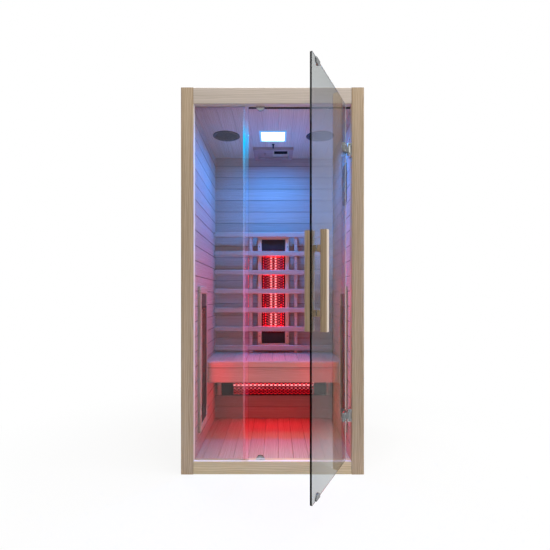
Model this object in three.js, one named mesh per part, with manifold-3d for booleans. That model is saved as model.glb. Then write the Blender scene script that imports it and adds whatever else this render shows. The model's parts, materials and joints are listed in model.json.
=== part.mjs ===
// A one-person infrared sauna cabin: prefabricated softwood panels round a bench, a framed glass front with
// a frameless swing door, four tube heaters behind expanded metal guards, and a sliding vent in the ceiling.
// Millimetres, Z up, front towards -Y. The origin is on the floor, at the middle of the cabin's footprint.
import * as THREE from "three";
import { mergeVertices } from "three/addons/utils/BufferGeometryUtils.js";
import Module from "manifold-3d";

// Cabin
const CABIN_WIDTH = 900;
const CABIN_DEPTH = 900;
const CABIN_HEIGHT = 1900;
const SEAT_GAP = 0.3; // left where a piece is cut or turned to fit its seat

// Boards and studs of the panels
const BOARD_THICKNESS = 8;
const BOARD_PITCH = 80;
const GROOVE_WIDTH = 4;
const GROOVE_DEPTH = 2.5;
const NARROWEST_BOARD = 20;
const STUD_DEPTH = 29;
const STUD_WIDTH = 40;
const WALL_RUNGS = 2; // level rails between the top and bottom of a wall frame
const BASE_HEIGHT = 14;
const JOIST_WIDTH = 45;
const ROOF_RAIL_HEIGHT = 38;
const ROOF_RAIL_OFFSET = 155; // from the middle of the roof to the rear cross rail
const ROOF_SETDOWN = 8; // of the roof's top below the front frame

// Front frame
const FRAME_DEPTH = 45;
const STILE_WIDTH = 62;
const HEADER_HEIGHT = 81;
const SILL_HEIGHT = 62;
const EASED_EDGE = 5; // radius of the long front edges of the timbers

// Glass and its seals
const GLASS_THICKNESS = 8;
const GLASS_CORNER = 6;
const FIXED_PANE_WIDTH = 251; // clear width beside the door
const FIXED_PANE_SETBACK = 29;
const GLAZING_GROOVE = 8;
const EDGE_SEAL_OVERLAP = 10;
const EDGE_SEAL_FIN = 18;
const EDGE_SEAL_WALL = 1.5;
const EDGE_SEAL_AIR = 1.7; // between the seal's lip and the shut door
const STOP_SEAL_DEPTH = 8;
const STOP_SEAL_HEIGHT = 6;
const STOP_SEAL_SETBACK = 35;

// Door
const DOOR_SETBACK = 11;
const DOOR_LAP = 11; // of the free edge over the seal's fin
const DOOR_TOP_GAP = 7;
const DOOR_BOTTOM_GAP = 12;
const DOOR_OPEN_ANGLE = 65.3; // degrees, as the door stands at rest

// Hinges
const HINGE_OFFSET = 14; // from the stile to the pin
const HINGE_ADVANCE = 15; // from the middle of the shut glass to the pin, towards the front
const HINGE_INSET = 218; // from the glass ends to the hinge middles
const HINGE_HEIGHT = 62;
const HINGE_KNUCKLE_RADIUS = 9;
const HINGE_KNUCKLE_HEIGHT = 30;
const HINGE_PIN_RADIUS = 3.5;
const HINGE_PLATE_THICKNESS = 3.7;
const HINGE_PLATE_DEPTH = 38;
const HINGE_PLATE_SETBACK = 2;
const HINGE_WEB = 14;
const CLAMP_HEIGHT = 46;
const CLAMP_END = 58; // from the pin to the far end of the clamp plates
const CLAMP_SHELL = 3.7;
const CLAMP_CORNER = 8;
const CLAMP_START = 8.5; // from the pin to the clamp plates
const CLAMP_WEB = 2.2; // from the clamp's near end to the glass edge
const CLAMP_ARM_LAP = 6; // of the knuckle's arm along the clamp plate
const CLAMP_ARM_BITE = 1; // of the arm into the plate

// Door handle
const HANDLE_LENGTH = 402;
const HANDLE_SECTION = 28;
const HANDLE_CHAMFER = 3;
const HANDLE_STANDOFF = 33; // from the middle of the glass to the middle of a bar
const HANDLE_INSET = 68; // from the free edge
const HANDLE_CENTRE = 936;
const HANDLE_BOLT_SPACING = 257;
const SPACER_RADIUS = 9.5;
const BOLT_RADIUS = 5;

// Magnetic catches
const CATCH_RADIUS = 22;
const CATCH_INSET = 70; // from the free edge
const CATCH_THICKNESS = 10;
const CATCH_AIR = 1; // between the closed door and the magnets
const CATCH_SHELL = 2.7;
const CATCH_CAP = 2.5;
const MAGNET_RADIUS = 8;
const MAGNET_RECESS = 1.5;

// Bench and backrest
const BENCH_HEIGHT = 486;
const BENCH_DEPTH = 419;
const BENCH_BOARD = 20;
const BENCH_RAIL_HEIGHT = 39;
const BENCH_RAIL_DEPTH = 24;
const BENCH_NOSE = 6; // eased edge of the front rail
const APRON_HEIGHT = 88;
const APRON_THICKNESS = 18;
const CLEAT_SIZE = 30;
const SLAT_COUNT = 7;
const SLAT_HEIGHT = 34;
const SLAT_THICKNESS = 14;
const SLAT_RISE = 19; // from the bench to the lowest slat
const SLAT_PITCH = 128.8;
const SLAT_END_GAP = 2;
const SLAT_EDGE = 3;
const BACKREST_DEPTH = 67;
const BATTEN_OFFSET = 154;
const BATTEN_WIDTH = 20;

// Heaters
const HEATER_LENGTH = 715;
const HEATER_WIDTH = 160;
const HEATER_DEPTH = 34;
const HEATER_END = 80;
const TROUGH_WIDTH = 148;
const TROUGH_DEPTH = 26;
const TUBE_RADIUS = 5.5;
const TUBE_SPACING = 28;
const TUBE_DEPTH = 14; // from the heater's front to the tube's axis
const GUARD_THICKNESS = 1.5;
const GUARD_LAP = 10; // over the end blocks
const GUARD_MARGIN = 1;
const GUARD_EDGE = 6;
const GUARD_STRAND = 4.5;
const GUARD_COLUMNS = 5; // of diamonds across the guard
const GUARD_ROWS = 12; // half diamonds along it
const BACK_HEATER_RISE = 64; // above the bench
const BENCH_HEATER_RISE = 192; // above the ground
const SIDE_HEATER_RISE = 174;
const SIDE_HEATER_BENCH_GAP = 40; // from the bench front to the heater's edge
const SIDE_HEATER_RECESS = 22; // into the wall

// Ceiling fittings
const SPEAKER_RADIUS = 81;
const SPEAKER_BODY_RADIUS = 66;
const SPEAKER_FLANGE = 4;
const SPEAKER_DOME = 6;
const SPEAKER_BODY_DEPTH = 30;
const SPEAKER_OFFSET = 280;
const SPEAKER_SETBACK = 2; // from the light's middle towards the back
const LIGHT_SIZE = 160;
const LIGHT_BODY = 148;
const LIGHT_FLANGE = 5;
const LIGHT_WALL = 5;
const LIGHT_BODY_HEIGHT = 24;
const LIGHT_VENT_GAP = 102;
const LIGHT_RAIL_GAP = 40; // from the light's body to the front cross rail
const DIFFUSER_THICKNESS = 3;
const DIFFUSER_RECESS = 1.5;
const PROBE_VENT_GAP = 46;
const PROBE_RADIUS = 4.5;
const PROBE_FLANGE_RADIUS = 9;
const PROBE_FLANGE = 3;
const PROBE_LENGTH = 26;
const PANEL_WIDTH = 110;
const PANEL_HEIGHT = 220;
const PANEL_THICKNESS = 9;
const PANEL_GLASS = 3;
const PANEL_BORDER = 4;
const PANEL_CORNER = 10;
const PANEL_SETBACK = 290;
const PANEL_CENTRE = 1500;

// Air vent
const VENT_WIDTH = 260;
const VENT_LENGTH = 205;
const VENT_BORDER = 28;
const VENT_THICKNESS = 18;
const VENT_BACK_GAP = 14; // from the vent frame to the back wall
const VENT_HOLE_WIDTH = 92;
const VENT_HOLE_LENGTH = 65;
const VENT_HOLE_LAND = 4; // from the vent's middle to the hole
const SLIDER_WIDTH = 104;
const SLIDER_THICKNESS = 6;
const SLIDER_TONGUE = 6;
const SLIDER_KNOB_RADIUS = 7;
const SLIDER_KNOB_LENGTH = 9;
const DUCT_WALL = 6;

// Electric unit in the roof
const UNIT_WIDTH = 180;
const UNIT_LENGTH = 110;
const UNIT_HEIGHT = 30;
const UNIT_OFFSET = 250;
const UNIT_RAIL_GAP = 40; // behind the rear cross rail
const INLET_WIDTH = 36;
const INLET_LENGTH = 28;
const INLET_PIN_WELL = 22;

// Planes that several pieces share
const SIDE = CABIN_WIDTH / 2;
const FRONT = -CABIN_DEPTH / 2;
const BACK = CABIN_DEPTH / 2;
const WALL_THICKNESS = 2 * BOARD_THICKNESS + STUD_DEPTH;
const INNER_SIDE = SIDE - WALL_THICKNESS;
const INNER_BACK = BACK - WALL_THICKNESS;
const FRAME_BACK = FRONT + FRAME_DEPTH;
const FLOOR = BASE_HEIGHT + BOARD_THICKNESS;
const OPENING_SIDE = SIDE - STILE_WIDTH;
const OPENING_TOP = CABIN_HEIGHT - HEADER_HEIGHT;
const ROOF_TOP = CABIN_HEIGHT - ROOF_SETDOWN;
const ROOF_RAIL_TOP = ROOF_TOP - BOARD_THICKNESS;
const CEILING_TOP = ROOF_RAIL_TOP - ROOF_RAIL_HEIGHT;
const CEILING_HEIGHT = CEILING_TOP - BOARD_THICKNESS;
const ROOF_MIDDLE = (FRAME_BACK + BACK) / 2;
const BENCH_FRONT = INNER_BACK - BENCH_DEPTH;
const BENCH_REAR_OF_RAIL = BENCH_FRONT + BENCH_RAIL_DEPTH;
const PANE_FRONT = FRONT + FIXED_PANE_SETBACK;
const PANE_EDGE = -OPENING_SIDE + FIXED_PANE_WIDTH;
const HINGE_X = OPENING_SIDE - HINGE_OFFSET;
const DOOR_Y = FRONT + DOOR_SETBACK + GLASS_THICKNESS / 2; // middle of the shut glass
const HINGE_Y = DOOR_Y - HINGE_ADVANCE;
const SEAL_FIN_END = PANE_EDGE + EDGE_SEAL_FIN;
const DOOR_REACH = HINGE_X - SEAL_FIN_END + DOOR_LAP;
const DOOR_EDGE = CLAMP_START + CLAMP_WEB + SEAT_GAP;
const DOOR_TOP = OPENING_TOP - DOOR_TOP_GAP;
const DOOR_BOTTOM = SILL_HEIGHT + DOOR_BOTTOM_GAP;
const SIDE_HEATER_MIDDLE = BENCH_FRONT - SIDE_HEATER_BENCH_GAP - HEATER_WIDTH / 2;
const VENT_FRONT = INNER_BACK - VENT_BACK_GAP - VENT_LENGTH;
const VENT_MIDDLE = VENT_FRONT + VENT_LENGTH / 2;
const PROBE_Y = VENT_FRONT - PROBE_VENT_GAP;
const LIGHT_Y = VENT_FRONT - LIGHT_VENT_GAP - LIGHT_SIZE / 2;
const SPEAKER_Y = LIGHT_Y + SPEAKER_SETBACK;
const VENT_HOLE = {
  left: VENT_HOLE_LAND,
  right: VENT_HOLE_LAND + VENT_HOLE_WIDTH,
  front: VENT_MIDDLE - VENT_HOLE_LENGTH / 2,
  rear: VENT_MIDDLE + VENT_HOLE_LENGTH / 2,
};
const UNIT_FRONT = ROOF_MIDDLE + ROOF_RAIL_OFFSET + STUD_WIDTH / 2 + UNIT_RAIL_GAP;
const UNIT_MIDDLE = UNIT_FRONT + UNIT_LENGTH / 2;

const ROUND = 18; // facets of a small round piece
const ROUND_LARGE = 24;
const CORNER_STEPS = 4; // of a quarter round corner
const ARC_STEPS = 12; // of a half round
const HAIRPIN_STEPS = 10;
const TUBE_SIDES = 10;
const DOME_RINGS = 4;
const PAST = 1; // how far a cutter runs past what it cuts

const FINISHES = {
  hemlock: { color: 0xd8bf9c, roughness: 0.6, metalness: 0 },
  frameTimber: { color: 0xc9b08a, roughness: 0.55, metalness: 0 },
  handleTimber: { color: 0xc8a878, roughness: 0.5, metalness: 0 },
  stud: { color: 0xcdb084, roughness: 0.75, metalness: 0 },
  glass: { color: 0xb7bcbc, roughness: 0.04, metalness: 0, transparent: true, opacity: 0.3 },
  clearSeal: { color: 0xdde8ee, roughness: 0.25, metalness: 0, transparent: true, opacity: 0.5 },
  chrome: { color: 0xd6d8da, roughness: 0.12, metalness: 1 },
  blackRubber: { color: 0x17171a, roughness: 0.7, metalness: 0 },
  blackEnamel: { color: 0x141418, roughness: 0.4, metalness: 0.3 },
  redSteel: { color: 0xa83038, roughness: 0.35, metalness: 0.8 },
  quartz: { color: 0xff8a70, roughness: 0.15, metalness: 0, emissive: 0xff3018 },
  speakerGrille: { color: 0x23262e, roughness: 0.45, metalness: 0.5 },
  lightFrame: { color: 0xe4e6ea, roughness: 0.35, metalness: 0 },
  diffuser: { color: 0xeaf8ff, roughness: 0.3, metalness: 0, emissive: 0xbfeaff },
  darkGlass: { color: 0x11131c, roughness: 0.1, metalness: 0 },
  greyPlastic: { color: 0x55585c, roughness: 0.5, metalness: 0 },
};

const wasm = await Module();
wasm.setup();

const cabin = new THREE.Group();

function addPiece(name, geometry, finish, group = cabin) {
  const mesh = new THREE.Mesh(geometry, new THREE.MeshStandardMaterial(FINISHES[finish]));
  mesh.name = name;
  group.add(mesh);
}

// A box between two corners, whose faces lie exactly on the given planes
function block(x0, x1, y0, y1, z0, z1) {
  const geometry = new THREE.BoxGeometry(1, 1, 1);
  const corner = geometry.attributes.position;
  for (let i = 0; i < corner.count; i += 1) {
    const x = corner.getX(i) < 0 ? x0 : x1;
    const y = corner.getY(i) < 0 ? y0 : y1;
    const z = corner.getZ(i) < 0 ? z0 : z1;
    corner.setXYZ(i, x, y, z);
  }
  return geometry;
}

// A shape pushed along one axis. Its own axes are (Y, Z) along X, (Z, X) along Y and (X, Y) along Z.
function prism(shape, axis, from, to, curveSegments = CORNER_STEPS) {
  const geometry = new THREE.ExtrudeGeometry(shape, { depth: 1, bevelEnabled: false, curveSegments });
  const point = geometry.attributes.position;
  for (let i = 0; i < point.count; i += 1) {
    const u = point.getX(i);
    const v = point.getY(i);
    const w = point.getZ(i) < 0.5 ? from : to;
    if (axis === "x") {
      point.setXYZ(i, w, u, v);
    } else if (axis === "y") {
      point.setXYZ(i, v, w, u);
    } else {
      point.setXYZ(i, u, v, w);
    }
  }
  geometry.computeVertexNormals();
  return geometry;
}

function polygon(points) {
  return new THREE.Shape(points.map(([u, v]) => new THREE.Vector2(u, v)));
}

function roundedRectangle(u0, u1, v0, v1, radius) {
  const quarter = Math.PI / 2;
  const shape = new THREE.Shape();
  shape.absarc(u1 - radius, v1 - radius, radius, 0, quarter);
  shape.absarc(u0 + radius, v1 - radius, radius, quarter, 2 * quarter);
  shape.absarc(u0 + radius, v0 + radius, radius, 2 * quarter, 3 * quarter);
  shape.absarc(u1 - radius, v0 + radius, radius, 3 * quarter, 4 * quarter);
  return shape;
}

function chamferedSquare(half, chamfer) {
  const flat = half - chamfer;
  return polygon([
    [half, -flat], [half, flat], [flat, half], [-flat, half],
    [-half, flat], [-half, -flat], [-flat, -half], [flat, -half],
  ]);
}

// A round bar along Z
function rod(radius, z0, z1, segments = ROUND) {
  const geometry = new THREE.CylinderGeometry(radius, radius, z1 - z0, segments);
  geometry.rotateX(Math.PI / 2);
  geometry.translate(0, 0, (z0 + z1) / 2);
  return geometry;
}

// A turned piece about the Z axis, from its outline of radius and height, from the lowest point up
function turned(outline, segments = ROUND) {
  const geometry = new THREE.LatheGeometry(outline.map(([r, z]) => new THREE.Vector2(r, z)), segments);
  geometry.rotateX(Math.PI / 2);
  return geometry;
}

function toSolid(geometry) {
  const bare = geometry.clone();
  bare.deleteAttribute("normal");
  bare.deleteAttribute("uv");
  const merged = mergeVertices(bare);
  const vertProperties = new Float32Array(merged.attributes.position.array);
  const triVerts = new Uint32Array(merged.index.array);
  return new wasm.Manifold(new wasm.Mesh({ numProp: 3, vertProperties, triVerts }));
}

function toGeometry(solid) {
  const mesh = solid.getMesh();
  const geometry = new THREE.BufferGeometry();
  geometry.setAttribute("position", new THREE.BufferAttribute(mesh.vertProperties.slice(), 3));
  geometry.setIndex(new THREE.BufferAttribute(mesh.triVerts.slice(), 1));
  geometry.computeVertexNormals();
  return geometry;
}

function cut(body, ...cutters) {
  return toGeometry(cutters.reduce((rest, cutter) => rest.subtract(toSolid(cutter)), toSolid(body)));
}

function joined(...pieces) {
  return toGeometry(pieces.map(toSolid).reduce((whole, piece) => whole.add(piece)));
}

// The section of a row of tongued boards: a strip from back to face, with a V groove at each seam.
// The first coordinate runs along the row, or through the boards where it is turned.
function boardRow(start, end, back, face, turnedOver) {
  const inwards = Math.sign(back - face);
  const points = [[start, back], [start, face]];
  for (let seam = start + BOARD_PITCH; seam < end - NARROWEST_BOARD; seam += BOARD_PITCH) {
    points.push([seam - GROOVE_WIDTH / 2, face]);
    points.push([seam, face + inwards * GROOVE_DEPTH]);
    points.push([seam + GROOVE_WIDTH / 2, face]);
  }
  points.push([end, face], [end, back]);
  return polygon(turnedOver ? points.map(([along, depth]) => [depth, along]) : points);
}

// The spans of the openings between the rungs of a ladder frame
function ladderBays(start, end, rungs) {
  const bay = (end - start - (rungs + 2) * STUD_WIDTH) / (rungs + 1);
  return Array.from({ length: rungs + 1 }, (_, i) => {
    const low = start + STUD_WIDTH + i * (bay + STUD_WIDTH);
    return [low, low + bay];
  });
}

function addFloor() {
  const half = JOIST_WIDTH / 2;
  const frame = block(-SIDE, SIDE, FRAME_BACK, BACK, 0, BASE_HEIGHT);
  const bays = [[FRAME_BACK + JOIST_WIDTH, -half], [half, BACK - JOIST_WIDTH]].map(([near, far]) => {
    return block(-SIDE + JOIST_WIDTH, SIDE - JOIST_WIDTH, near, far, -PAST, BASE_HEIGHT + PAST);
  });
  addPiece("base_frame", cut(frame, ...bays), "stud");
  const boards = boardRow(-SIDE, SIDE, BASE_HEIGHT, FLOOR, true);
  addPiece("floor_boards", prism(boards, "y", FRAME_BACK, BACK), "hemlock");
}

function addSideWall(name, side) {
  const lining = side * (INNER_SIDE + BOARD_THICKNESS);
  const cladding = side * (SIDE - BOARD_THICKNESS);
  const near = Math.min(lining, cladding);
  const far = Math.max(lining, cladding);
  const mouth = side * (INNER_SIDE - PAST);
  const heaterHalf = HEATER_WIDTH / 2 + SEAT_GAP;
  const heaterTop = SIDE_HEATER_RISE + HEATER_LENGTH + SEAT_GAP;
  const heaterHole = block(Math.min(mouth, cladding), Math.max(mouth, cladding),
    SIDE_HEATER_MIDDLE - heaterHalf, SIDE_HEATER_MIDDLE + heaterHalf,
    SIDE_HEATER_RISE - SEAT_GAP, heaterTop);
  const inner = boardRow(FLOOR, CEILING_HEIGHT, lining, side * INNER_SIDE, false);
  const boards = prism(inner, "y", FRAME_BACK, INNER_BACK);
  addPiece(`${name}_wall_lining`, cut(boards, heaterHole), "hemlock");
  const frame = block(near, far, FRAME_BACK, INNER_BACK, FLOOR, CEILING_HEIGHT);
  const bays = ladderBays(FLOOR, CEILING_HEIGHT, WALL_RUNGS).map(([low, high]) => {
    return block(near - PAST, far + PAST, FRAME_BACK + STUD_WIDTH, INNER_BACK - STUD_WIDTH, low, high);
  });
  addPiece(`${name}_wall_frame`, cut(frame, ...bays, heaterHole), "stud");
  const outer = boardRow(FLOOR, CEILING_HEIGHT, cladding, side * SIDE, false);
  addPiece(`${name}_wall_cladding`, prism(outer, "y", FRAME_BACK, INNER_BACK), "hemlock");
}

function addBackWall() {
  const lining = INNER_BACK + BOARD_THICKNESS;
  const cladding = BACK - BOARD_THICKNESS;
  const inner = boardRow(FLOOR, CEILING_HEIGHT, lining, INNER_BACK, true);
  addPiece("back_wall_lining", prism(inner, "x", -SIDE, SIDE), "hemlock");
  const frame = block(-SIDE, SIDE, lining, cladding, FLOOR, CEILING_HEIGHT);
  const bays = ladderBays(FLOOR, CEILING_HEIGHT, WALL_RUNGS).map(([low, high]) => {
    return block(-SIDE + STUD_WIDTH, SIDE - STUD_WIDTH, lining - PAST, cladding + PAST, low, high);
  });
  addPiece("back_wall_frame", cut(frame, ...bays), "stud");
  const outer = boardRow(FLOOR, CEILING_HEIGHT, cladding, BACK, true);
  addPiece("back_wall_cladding", prism(outer, "x", -SIDE, SIDE), "hemlock");
}

function ventHoleCutter(bottom, top) {
  const { left, right, front, rear } = VENT_HOLE;
  return block(left, right, front, rear, bottom, top);
}

function addRoof() {
  const boards = prism(boardRow(-SIDE, SIDE, CEILING_TOP, CEILING_HEIGHT, true), "y", FRAME_BACK, BACK);
  const low = CEILING_HEIGHT - PAST;
  const high = CEILING_TOP + PAST;
  const speakerHoles = [-1, 1].map((side) => {
    const hole = rod(SPEAKER_BODY_RADIUS + SEAT_GAP, low, high, ROUND_LARGE);
    return hole.translate(side * SPEAKER_OFFSET, SPEAKER_Y, 0);
  });
  const lightHalf = LIGHT_BODY / 2 + SEAT_GAP;
  const lightHole = block(-lightHalf, lightHalf, LIGHT_Y - lightHalf, LIGHT_Y + lightHalf, low, high);
  addPiece("ceiling_lining", cut(boards, ...speakerHoles, lightHole, ventHoleCutter(low, high)), "hemlock");

  const frame = block(-SIDE, SIDE, FRAME_BACK, BACK, CEILING_TOP, ROOF_RAIL_TOP);
  const frontRail = LIGHT_Y - LIGHT_BODY / 2 - LIGHT_RAIL_GAP - STUD_WIDTH / 2;
  const rearRail = ROOF_MIDDLE + ROOF_RAIL_OFFSET;
  const halfRail = STUD_WIDTH / 2;
  const bays = [
    [FRAME_BACK + STUD_WIDTH, frontRail - halfRail],
    [frontRail + halfRail, rearRail - halfRail],
    [rearRail + halfRail, BACK - STUD_WIDTH],
  ].map(([near, far]) => {
    return block(-SIDE + STUD_WIDTH, SIDE - STUD_WIDTH, near, far, CEILING_TOP - PAST, ROOF_RAIL_TOP + PAST);
  });
  addPiece("roof_frame", cut(frame, ...bays), "stud");

  const { left, right, front, rear } = VENT_HOLE;
  const cover = block(-SIDE, SIDE, FRAME_BACK, BACK, ROOF_RAIL_TOP, ROOF_TOP);
  const duct = block(left - DUCT_WALL, right + DUCT_WALL, front - DUCT_WALL, rear + DUCT_WALL,
    CEILING_TOP + SEAT_GAP, ROOF_TOP);
  const inletHalfWidth = INLET_WIDTH / 2 + SEAT_GAP;
  const inletHalfLength = INLET_LENGTH / 2 + SEAT_GAP;
  const inletHole = block(-UNIT_OFFSET - inletHalfWidth, -UNIT_OFFSET + inletHalfWidth,
    UNIT_MIDDLE - inletHalfLength, UNIT_MIDDLE + inletHalfLength, CEILING_TOP, ROOF_TOP + PAST);
  const shell = joined(cover, duct);
  addPiece("roof_cover", cut(shell, ventHoleCutter(CEILING_TOP, ROOF_TOP + PAST), inletHole), "hemlock");

  const unitX = -UNIT_OFFSET;
  const unitTop = CEILING_TOP + UNIT_HEIGHT;
  const box = block(unitX - UNIT_WIDTH / 2, unitX + UNIT_WIDTH / 2, UNIT_FRONT, UNIT_FRONT + UNIT_LENGTH,
    CEILING_TOP, unitTop);
  const inlet = block(unitX - INLET_WIDTH / 2, unitX + INLET_WIDTH / 2,
    UNIT_MIDDLE - INLET_LENGTH / 2, UNIT_MIDDLE + INLET_LENGTH / 2, CEILING_TOP, ROOF_TOP);
  const wellHalf = INLET_PIN_WELL / 2;
  const well = block(unitX - wellHalf, unitX + wellHalf,
    UNIT_MIDDLE - wellHalf / 2, UNIT_MIDDLE + wellHalf / 2, unitTop, ROOF_TOP + PAST);
  addPiece("power_unit", cut(joined(box, inlet), well), "greyPlastic");
}

// A post of the front frame, with both long front edges rounded over
function post(x0, x1) {
  const quarter = Math.PI / 2;
  const section = new THREE.Shape();
  section.moveTo(x1, FRAME_BACK);
  section.lineTo(x0, FRAME_BACK);
  section.absarc(x0 + EASED_EDGE, FRONT + EASED_EDGE, EASED_EDGE, 2 * quarter, 3 * quarter);
  section.absarc(x1 - EASED_EDGE, FRONT + EASED_EDGE, EASED_EDGE, 3 * quarter, 4 * quarter);
  return prism(section, "z", 0, CABIN_HEIGHT);
}

// A beam of the front frame between the posts, rounded like them
function beam(z0, z1) {
  const quarter = Math.PI / 2;
  const section = new THREE.Shape();
  section.moveTo(FRAME_BACK, z0);
  section.lineTo(FRAME_BACK, z1);
  section.absarc(FRONT + EASED_EDGE, z1 - EASED_EDGE, EASED_EDGE, quarter, 2 * quarter);
  section.absarc(FRONT + EASED_EDGE, z0 + EASED_EDGE, EASED_EDGE, 2 * quarter, 3 * quarter);
  return prism(section, "x", -OPENING_SIDE, OPENING_SIDE);
}

function addFrontFrame() {
  const grooveFront = PANE_FRONT - SEAT_GAP;
  const grooveBack = PANE_FRONT + GLASS_THICKNESS + SEAT_GAP;
  const groove = (x0, x1, z0, z1) => block(x0, x1, grooveFront, grooveBack, z0, z1);
  const low = SILL_HEIGHT - GLAZING_GROOVE;
  const high = OPENING_TOP + GLAZING_GROOVE;
  const stileGroove = groove(-OPENING_SIDE - GLAZING_GROOVE, -OPENING_SIDE + PAST, low, high);
  addPiece("left_stile", cut(post(-SIDE, -OPENING_SIDE), stileGroove), "frameTimber");
  addPiece("right_stile", post(OPENING_SIDE, SIDE), "frameTimber");
  const headerGroove = groove(-OPENING_SIDE - PAST, PANE_EDGE + SEAT_GAP, OPENING_TOP - PAST, high);
  addPiece("header", cut(beam(OPENING_TOP, CABIN_HEIGHT), headerGroove), "frameTimber");
  const sillGroove = groove(-OPENING_SIDE - PAST, PANE_EDGE + SEAT_GAP, low, SILL_HEIGHT + PAST);
  addPiece("sill", cut(beam(0, SILL_HEIGHT), sillGroove), "frameTimber");

  const paneLeft = -OPENING_SIDE - GLAZING_GROOVE + SEAT_GAP;
  const paneBack = PANE_FRONT + GLASS_THICKNESS;
  const pane = block(paneLeft, PANE_EDGE, PANE_FRONT, paneBack, low + SEAT_GAP, high - SEAT_GAP);
  addPiece("fixed_glass", pane, "glass");

  const slotFront = PANE_FRONT - SEAT_GAP;
  const slotBack = paneBack + SEAT_GAP;
  const sealFront = slotFront - EDGE_SEAL_WALL;
  const sealBack = slotBack + EDGE_SEAL_WALL;
  const sealLeft = PANE_EDGE - EDGE_SEAL_OVERLAP;
  const finFront = (slotFront + slotBack) / 2 - EDGE_SEAL_WALL / 2;
  const finBack = finFront + EDGE_SEAL_WALL;
  const lipFront = DOOR_Y + GLASS_THICKNESS / 2 + EDGE_SEAL_AIR;
  const webLeft = PANE_EDGE + SEAT_GAP;
  const webRight = webLeft + EDGE_SEAL_WALL;
  const seal = polygon([
    [sealLeft, slotFront], [sealLeft, sealFront], [webRight, sealFront], [webRight, finFront],
    [SEAL_FIN_END - EDGE_SEAL_WALL, finFront], [SEAL_FIN_END - EDGE_SEAL_WALL, lipFront],
    [SEAL_FIN_END, lipFront], [SEAL_FIN_END, finBack], [webRight, finBack], [webRight, sealBack],
    [sealLeft, sealBack], [sealLeft, slotBack], [webLeft, slotBack], [webLeft, slotFront],
  ]);
  addPiece("glass_edge_seal", prism(seal, "z", SILL_HEIGHT + SEAT_GAP, OPENING_TOP - SEAT_GAP), "clearSeal");

  const stopFront = FRONT + STOP_SEAL_SETBACK;
  const stop = block(SEAL_FIN_END + SEAT_GAP, OPENING_SIDE - SEAT_GAP,
    stopFront, stopFront + STOP_SEAL_DEPTH, OPENING_TOP - STOP_SEAL_HEIGHT, OPENING_TOP - SEAT_GAP);
  addPiece("door_stop_seal", stop, "blackRubber");
}

// A half round magnet holder on the sill or under the header. The shape's own axes are Z and X.
function addFrameCatch(name, base, direction) {
  const x = HINGE_X - DOOR_REACH + CATCH_INSET;
  const front = DOOR_Y + GLASS_THICKNESS / 2 + SEAT_GAP + CATCH_SHELL + CATCH_AIR;
  const start = direction > 0 ? -Math.PI / 2 : Math.PI / 2;
  const seat = base + direction * SEAT_GAP;
  const shape = new THREE.Shape().absarc(seat, x, CATCH_RADIUS, start, start + Math.PI);
  const body = prism(shape, "y", front, front + CATCH_THICKNESS, ARC_STEPS);
  const middle = seat + direction * CATCH_RADIUS / 2;
  const recess = new THREE.Shape().absarc(middle, x, MAGNET_RADIUS, 0, 2 * Math.PI);
  addPiece(name, cut(body, prism(recess, "y", front - PAST, front + MAGNET_RECESS, ARC_STEPS)), "chrome");
}

// The hinge half on the stile: a screwed plate, two knuckles and the pin
function addHingeBracket(name, middle) {
  const half = HINGE_HEIGHT / 2;
  const knuckle = HINGE_KNUCKLE_HEIGHT / 2 + SEAT_GAP;
  const plateBack = HINGE_OFFSET - SEAT_GAP;
  const plateFace = plateBack - HINGE_PLATE_THICKNESS;
  const plateFront = FRONT + HINGE_PLATE_SETBACK - HINGE_Y;
  const plate = block(plateFace, plateBack, plateFront, plateFront + HINGE_PLATE_DEPTH, -half, half);
  const pieces = [plate, rod(HINGE_PIN_RADIUS, -half, half)];
  for (const [low, high] of [[-half, -knuckle], [knuckle, half]]) {
    pieces.push(rod(HINGE_KNUCKLE_RADIUS, low, high));
    pieces.push(block(0, plateBack, -HINGE_WEB / 2, HINGE_WEB / 2, low, high));
  }
  const bracket = joined(...pieces);
  bracket.translate(HINGE_X, HINGE_Y, middle);
  addPiece(name, bracket, "chrome");
}

// The hinge half on the glass: a slotted clamp with the middle knuckle, bored for the pin
function addHingeClamp(name, middle, door) {
  const half = GLASS_THICKNESS / 2 + SEAT_GAP + CLAMP_SHELL;
  const slot = GLASS_THICKNESS / 2 + SEAT_GAP;
  const knuckle = HINGE_KNUCKLE_HEIGHT / 2;
  const top = CLAMP_HEIGHT / 2;
  const plate = roundedRectangle(-top, top, -CLAMP_END, -CLAMP_START, CLAMP_CORNER);
  const outer = HINGE_ADVANCE - half;
  const shell = prism(plate, "y", outer, HINGE_ADVANCE + half);
  const arm = block(-CLAMP_START - CLAMP_ARM_LAP, 0, -HINGE_KNUCKLE_RADIUS / 2, outer + CLAMP_ARM_BITE,
    -knuckle, knuckle);
  const body = joined(shell, arm, rod(HINGE_KNUCKLE_RADIUS, -knuckle, knuckle));
  const glassSlot = block(-CLAMP_END - PAST, -CLAMP_START - CLAMP_WEB, HINGE_ADVANCE - slot,
    HINGE_ADVANCE + slot, -top - PAST, top + PAST);
  const bore = rod(HINGE_PIN_RADIUS + SEAT_GAP, -knuckle - PAST, knuckle + PAST);
  const clamp = cut(body, glassSlot, bore);
  clamp.translate(0, 0, middle);
  addPiece(name, clamp, "chrome", door);
}

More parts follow.
